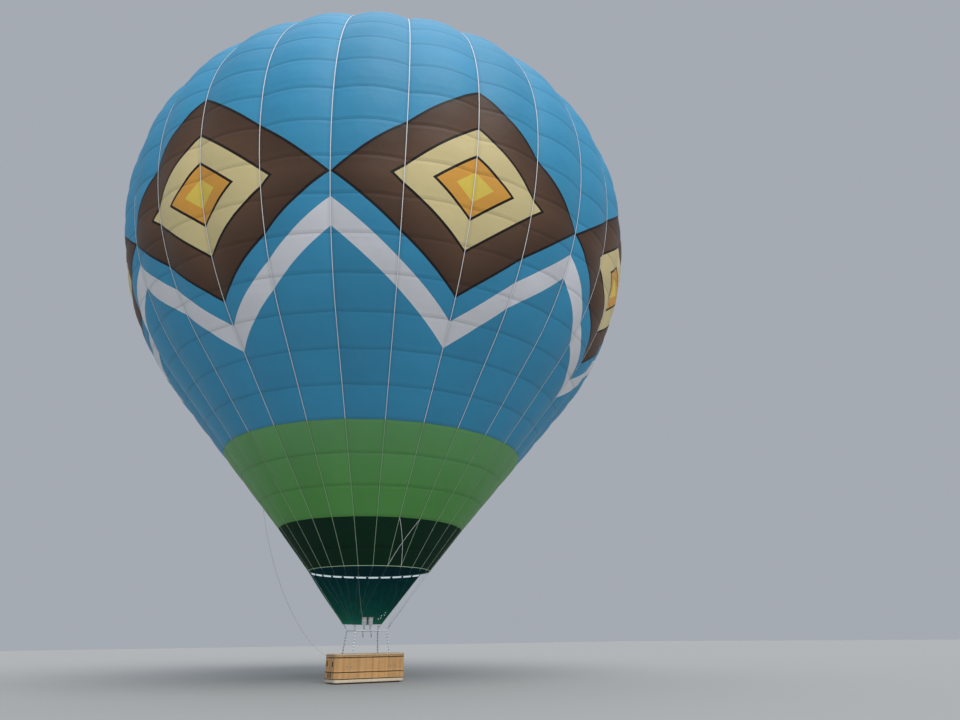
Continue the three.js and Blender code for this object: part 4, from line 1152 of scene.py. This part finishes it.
def upright_path(points, z):
    return np.column_stack([points, np.broadcast_to(z, len(points))])


# Wicker: rows of strands in and out of the stakes, with grooves above the hide and by belt and rim
BELT_HEIGHTS = (0.460, 0.481)
FIELD_SPLIT = 0.600
HIDE_GROOVE = 0.032
BELT_GROOVE = 0.050
BELT_LAP = 0.010
RIM_GROOVE = (0.955, 0.995)
RIM_LAP = 0.004
STRAND_HALF_HEIGHT = 0.0099
STRAND_FLATNESS = 0.45
STRAND_WOBBLE = 0.0008
WEAVE_MIDDLE = 0.0045
WEAVE_SWING = 0.0040
FIELDS = {
    "low": [(RAWHIDE_TOP + HIDE_GROOVE, BELT_HEIGHTS[0] - BELT_GROOVE),
            (BELT_HEIGHTS[0] - BELT_LAP, FIELD_SPLIT)],
    "high": [(FIELD_SPLIT, RIM_GROOVE[0]), (RIM_GROOVE[1], WALL_TOP - RIM_LAP)],
}


def strand(part, path, closed):
    part.tube(path, STRAND_HALF_HEIGHT, wicker, 4, closed, STRAND_FLATNESS, UP)


def in_foot_hole(point, height):
    return abs(point[0]) >= BASKET_HALF[0] - WALL - 0.02 and any(
        abs(point[1] - y) < FOOT_HOLE_HALF[0] and abs(height - z) < FOOT_HOLE_HALF[1]
        for y, z in FOOT_HOLES)


def weave(part, points, normals, low, high, closed):
    """Rows of strands along the points, each out of step with the next, broken at the foot holes."""
    count = len(points)
    rows = round((high - low) / WEAVE_ROW)
    pitch = (high - low) / rows
    step = np.arange(count)
    for row in range(rows):
        height = low + (row + 0.5) * pitch
        out = WEAVE_MIDDLE + WEAVE_SWING * np.cos(pi * (step / 2 + row))
        level = above_foot(height) + STRAND_WOBBLE * np.sin(step * 0.37 + row * 2.1)
        path = upright_path(points + normals * out[:, None], level)
        keep = [not in_foot_hole(point, height) for point in points]
        if all(keep):
            strand(part, path, closed)
            continue
        start = next(i for i in range(count) if keep[i] and not keep[i - 1])
        run = []
        for i in [*range(start, count), *range(start)]:
            if keep[i]:
                run.append(path[i])
            elif run:
                strand(part, run, False)
                run = []


def outer_weave():
    points, normals = basket_outline(0.0, WEAVE_STEP / 2)
    for name, spans in FIELDS.items():
        part = Part()
        for low, high in spans:
            weave(part, points, normals, low, high, True)
        part.object(f"weave_{name}", "wicker")


def inner_weave():
    part = Part()
    points, normals = basket_outline(-WALL, WEAVE_STEP / 2)
    weave(part, points, -normals, INSIDE_BOTTOM, WALL_TOP - RIM_LAP, True)
    part.object("weave_inside", "wicker")


def partition_weave():
    part = Part()
    inside = BASKET_HALF[1] - WALL
    y = np.arange(-inside, inside, WEAVE_STEP / 2)
    for s in (1, -1):
        x = np.arange(PARTITION_X + PARTITION / 2, BASKET_HALF[0] - WALL, WEAVE_STEP / 2) * s
        for face in (1, -1):
            out = face * PARTITION / 2
            for points, normal in (((0 * y + s * PARTITION_X + out, y), (face, 0)), ((x, 0 * x + out), (0, face))):
                points = np.column_stack(points)
                weave(part, points, np.tile(normal, (len(points), 1)), INSIDE_BOTTOM, PARTITION_TOP, False)
    part.object("weave_partitions", "wicker")


outer_weave()
inner_weave()
partition_weave()

# Belt, rawhide, rim and the padded tops of the partitions
BRAID_RADIUS = 0.008
BRAID_TURN = 0.11
BRAID_OUT = 0.012
LACE_EVERY = 6
LACE_RADIUS = 0.0035
STITCH_RADIUS = 0.0022
ROLL_STEP = 0.02
HOLE_EDGE_RADIUS = 0.010


def belt():
    """Two braids round the basket, each of two strands twisted round each other."""
    part = Part()
    points, normals = basket_outline(BRAID_OUT, BRAID_TURN / 8)
    for height in BELT_HEIGHTS:
        for phase in (0, pi):
            turns = 2 * pi * np.arange(len(points)) / 8 + phase
            out = (BRAID_RADIUS * 0.8 * np.cos(turns))[:, None]
            path = upright_path(points + normals * out, above_foot(height) + BRAID_RADIUS * 1.1 * np.sin(turns))
            part.tube(path, BRAID_RADIUS, wicker, 6, True)
    part.object("belt", "wicker", "root", "basket_belt")


def rawhide_cover():
    """Hide round the foot of the walls, with stitches along its upper edge."""
    part = Part()
    points, normals = basket_outline(0.0, 0.025)
    outline = [(0.0005, 0.0505), (0.0065, 0.0505), (0.0075, 0.08), (0.0070, 0.14), (0.0060, 0.163),
               (0.0005, RAWHIDE_TOP)]
    stitch = [(0.0078, 0.142), (0.0085, 0.172)]

    def section(i, line):
        return [(*(points[i] + normals[i] * out), above_foot(height)) for out, height in line]

    part.rings([section(i, outline) for i in range(len(points))], rawhide, closed=True)
    for i in range(0, len(points), 3):
        part.tube(section(i, stitch), STITCH_RADIUS, lacing, 5)
    part.object("rawhide_cover", "rawhide", "root", "rawhide_band")


def laced_roll(part, path, normals, radius, closed):
    """A roll of suede over padding, drawn in by lacing at every LACE_EVERY points."""
    swell = 1.0 + 0.06 * np.abs(np.sin(pi * np.arange(len(path)) / LACE_EVERY))
    part.tube(path, radius * swell, suede, 16, closed, up=UP)
    for i in range(0, len(path), LACE_EVERY):
        part.tube(circle(path[i], 1.03 * radius, (*normals[i], 0) * UP[2], UP, 14), LACE_RADIUS, lacing, 5, True)


def rim():
    part = Part()
    points, normals = basket_outline(-WALL / 2, ROLL_STEP)
    laced_roll(part, upright_path(points, RIM_Z), normals, RIM_ROLL, True)
    part.object("rim_roll", "suede", "root", "basket_rim")


def partition_tops():
    part = Part()
    radius = PARTITION / 2 + 0.006
    end_x, end_y = (half - WALL - 0.01 for half in BASKET_HALF)
    for s in (1, -1):
        y = np.arange(-end_y, end_y, ROLL_STEP)
        x = np.arange(PARTITION_X + radius, end_x, ROLL_STEP) * s
        for points, normal in (((0 * y + s * PARTITION_X, y), (1, 0)), ((x, 0 * x), (0, 1))):
            path = upright_path(np.column_stack(points), above_foot(PARTITION_TOP))
            laced_roll(part, path, [normal] * len(path), radius, False)
    part.object("partition_tops", "suede")


def foot_hole_edges():
    part = Part()
    half_y, half_z = (half + 0.004 for half in FOOT_HOLE_HALF)
    corners = np.array([(half_y, half_z), (-half_y, half_z), (-half_y, -half_z), (half_y, -half_z)])
    edge = np.array([between(corners[i - 1], corners[i], share)
                     for i in (1, 2, 3, 0) for share in (0.08, 0.36, 0.64, 0.92)])
    for s in (1, -1):
        for y, z in FOOT_HOLES:
            path = np.insert(edge + (y, above_foot(z)), 0, s * (BASKET_HALF[0] + 0.006), axis=1)
            part.tube(path, HOLE_EDGE_RADIUS, lacing, 8, True)
    part.object("foot_hole_edges", "suede")


belt()
rawhide_cover()
rim()
partition_tops()
foot_hole_edges()

# Rope handles on the long walls
HANDLES_X = (-0.95, 0.95)
HANDLE_HEIGHT = 0.62
HANDLE_HALF = 0.09
ROPE_RADIUS = 0.008


def rope_handles():
    part = Part()
    washer = [(0.016, 0.010), (0.016, 0.018), (0.010, 0.022)]
    for x in HANDLES_X:
        for s in (1, -1):
            middle = np.array([x, s * BASKET_HALF[1], above_foot(HANDLE_HEIGHT)])
            path = [middle + (HANDLE_HALF * cos(t), s * (0.004 + 0.034 * sin(t)), -0.05 * sin(t))
                    for t in np.linspace(0, pi, 15)]
            part.tube(path, ROPE_RADIUS, rope)
            for end in (path[0], path[-1]):
                part.turned(washer, end, lacing, axis=(0, s, 0), sides=16)
    part.object("rope_handles", "suede")


rope_handles()

# Padded uprights between the rim and the frame's corners
UPRIGHT_X = 0.800
UPRIGHT_RADIUS = 0.030
WRAP_STEP = 0.115
WRAP_LENGTH = 0.050
WRAP_RADII = UPRIGHT_RADIUS * np.array([0.96, 1.03, 1.0, 1.0, 1.03, 0.96])


def padded_upright(corner):
    """A pad over the rod, with white wraps along it."""
    part = Part()
    foot = np.array([corner.sx * UPRIGHT_X, corner.sy * (BASKET_HALF[1] - WALL / 2), RIM_Z])
    rise = unit(corner.at - foot)
    low = foot + rise * (RIM_ROLL + 0.002)
    high = corner.at - rise * (LUG_RADIUS + 0.0005)
    length = np.linalg.norm(high - low)
    count = int(length / WRAP_STEP)
    share = np.arange(8 * count + 1) / (8 * count)
    swell = 0.88 + 0.10 * np.sin(pi * (share * count % 1))
    part.tube(between(low, high, share[:, None]), UPRIGHT_RADIUS * swell, cover, 16)
    for i in range(count):
        start = low + rise * length * (i + 0.5) / count - rise * WRAP_LENGTH / 2
        part.tube(straight(start, start + rise * WRAP_LENGTH, 6), WRAP_RADII, white_tape, 16)
    made = part.object(f"pad_{corner.name}", "cover_fabric", "root", f"upright_{corner.name}")


for corner in CORNERS:
    padded_upright(corner)

# Fuel cylinders with collars, valves and straps
CYLINDER_RADIUS = 0.163
CYLINDER_HEIGHT = 0.900
CYLINDER_PLACES = [(-0.340, -0.430), (0.340, -0.430), (0.340, 0.430), (-0.340, 0.430)]
INSIDE_FLOOR = above_foot(0.0686)


def fuel_cylinder(number, x, y):
    part = Part()
    base = (x, y, INSIDE_FLOOR)
    r, h = CYLINDER_RADIUS, CYLINDER_HEIGHT
    body = [(r - 0.045, 0.0), (r - 0.012, 0.010), (r, 0.045), (r, h - 0.115), (r - 0.004, h - 0.100),
            (r - 0.020, h - 0.082), (r - 0.050, h - 0.068), (0.040, h - 0.055)]
    part.turned(body, base, cylinder_steel, sides=48)
    collar = [(0.064, h - 0.068), (0.070, h - 0.068), (0.070, h - 0.004), (0.064, h - 0.004)]
    part.turned(collar, base, steel, sides=32, loop=True)
    valve = [(0.016, h - 0.06), (0.016, h - 0.03), (0.012, h - 0.025), (0.012, h - 0.010)]
    part.turned(valve, (x + 0.02, y, INSIDE_FLOOR), brass, sides=16)
    for low, high in ((0.26, 0.30), (0.60, 0.64)):
        band = [(r - 0.001, low), (r + 0.002, low), (r + 0.002, high), (r - 0.001, high)]
        part.turned(band, base, rubber, sides=48, loop=True)
    part.object(f"cylinder_{number}", "cast_alloy", "root", f"fuel_cylinder_{number}")


for number, (x, y) in enumerate(CYLINDER_PLACES, 1):
    fuel_cylinder(number, x, y)

# Shroud lines under the valve and the line that opens it, tied to the frame's front bar
SHROUD_KNOT = np.array([0, 0, on_crown(VALVE_VENT_RADIUS)[1] - 3.2])
SHROUD_RADIUS = 0.002
VALVE_LINE_TIE = np.array([-0.300, -FRAME_HALF[1], FRAME_Z + FRAME_TUBE + 0.004])
VALVE_LINE_PLUMB = 8.0
VALVE_LINE_PULL = np.array([-1.3, 0.2, 4.5])
VALVE_LINE_RADIUS = 0.004
LINE_POINTS = 60


def curve(start, first, second, end):
    """A cubic curve from start to end, drawn towards the two points between them."""
    t = np.linspace(0, 1, LINE_POINTS)[:, None]
    return (start * (1 - t) ** 3 + first * 3 * t * (1 - t) ** 2 + second * 3 * t ** 2 * (1 - t)
            + end * t ** 3)


def hanging_cord(name, path, radius, body="root"):
    part = Part()
    part.tube(path, radius, rope, 6)
    made = part.object(name, "webbing", body)
    points = [tuple(float(v) for v in point) for point in path]
    return made


def valve_lines():
    shrouds = Part()
    station = on_crown(VALVE_RADIUS - 0.1)
    for k in range(GORES):
        edge = around(tape_azimuth(k), station, -0.022)
        shrouds.tube(straight(edge, SHROUD_KNOT), SHROUD_RADIUS, rope, 4)
    shrouds.object("valve_shrouds", "webbing", "valve")
    path = curve(SHROUD_KNOT, SHROUD_KNOT - (0, 0, VALVE_LINE_PLUMB), VALVE_LINE_TIE + VALVE_LINE_PULL,
                 VALVE_LINE_TIE)
    made = hanging_cord("valve_line", path, VALVE_LINE_RADIUS, None)
    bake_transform(made)


valve_lines()

# Crown line: over the cloth behind to the widest level, then free to the basket's rim
CROWN_LINE_AZIMUTH = radians(105)
CROWN_LINE_RADIUS = 0.006
CROWN_LINE_LEAVES_Z = -1.0
CROWN_LINE_LIFT = 0.03
CROWN_LINE_PLUMB = 14.0
CROWN_LINE_PULL = 1.5
CROWN_LINE_TIE = np.array([-1.56, 0.40, RIM_Z])


def crown_line():
    stations = [on_crown(radius) for radius in np.linspace(CROWN_RING_RADIUS, VALVE_OPENING_RADIUS, 9)]
    leave = EQUATOR_LENGTH + LOWER_ARC * asin(CROWN_LINE_LEAVES_Z / LOWER_ARC)
    stations += [profile(length) for length in np.linspace(CROWN_LENGTH, leave, 41)[1:]]
    path = [around(CROWN_LINE_AZIMUTH, s, CROWN_LINE_LIFT + 0.5 * bulge_at(s)) for s in stations]
    start = path[-1]
    outward = unit((start - CROWN_LINE_TIE) * (1, 1, 0))
    path.extend(curve(start, start - (0, 0, CROWN_LINE_PLUMB), CROWN_LINE_TIE + outward * CROWN_LINE_PULL,
                      CROWN_LINE_TIE)[1:])
    hanging_cord("crown_line", path, CROWN_LINE_RADIUS)


crown_line()

# Materials on the CAD pieces that keep their shape; the near-black wicker on the walls and partitions is painted
# shade behind the weave
KEPT_MATERIALS = [(("basket_floor", "basket_skid"), plywood),
                  (("basket_wall", "basket_end", "partition"), painted_shade_backing)]
for name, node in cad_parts.items():
    for starts, material in KEPT_MATERIALS:
        if name.startswith(starts):
            node.data.materials.clear()
            node.data.materials.append(material)

# Stage: pale floor, plain pale surroundings, and soft light that grows overhead
FLOOR_SIZE = 400
FLOOR_COLOUR = rgb(0.38, 0.38, 0.37)
SKY_COLOUR = rgb(0.84, 0.90, 1.0)
OVERHEAD_FROM = sin(radians(56))
SIDE_LIGHT = 0.45
OVERHEAD_LIGHT = 2.0
SUN_ENERGY = 2.3
SUN_WIDTH = radians(50)
SUN_TOWARD = Vector((0.10, 0.70, -0.80))


def stage():
    bpy.ops.mesh.primitive_plane_add(size=FLOOR_SIZE, location=(0, 0, FOOT_Z))
    floor = bpy.context.object
    floor.name = "floor"
    finish = Shader("floor")
    finish.set(Base_Color=FLOOR_COLOUR, Roughness=0.9)
    floor.data.materials.append(finish.made)
    sky = Shader("studio", "worlds", "Background")
    height = sky.split(sky.node("TexCoord"))[2]
    light = sky.node("MapRange", [height, OVERHEAD_FROM, 1.0, SIDE_LIGHT, OVERHEAD_LIGHT])
    sky.set(Color=SKY_COLOUR, Strength=light)
    bpy.context.scene.world = sky.made
    sun = bpy.data.lights.new("sun", "SUN")
    sun.energy = SUN_ENERGY
    sun.angle = SUN_WIDTH
    lamp = bpy.data.objects.new("sun", sun)
    bpy.context.scene.collection.objects.link(lamp)
    lamp.rotation_euler = SUN_TOWARD.to_track_quat("-Z", "Y").to_euler()
    bpy.context.scene.view_settings.view_transform = "Standard"


stage()
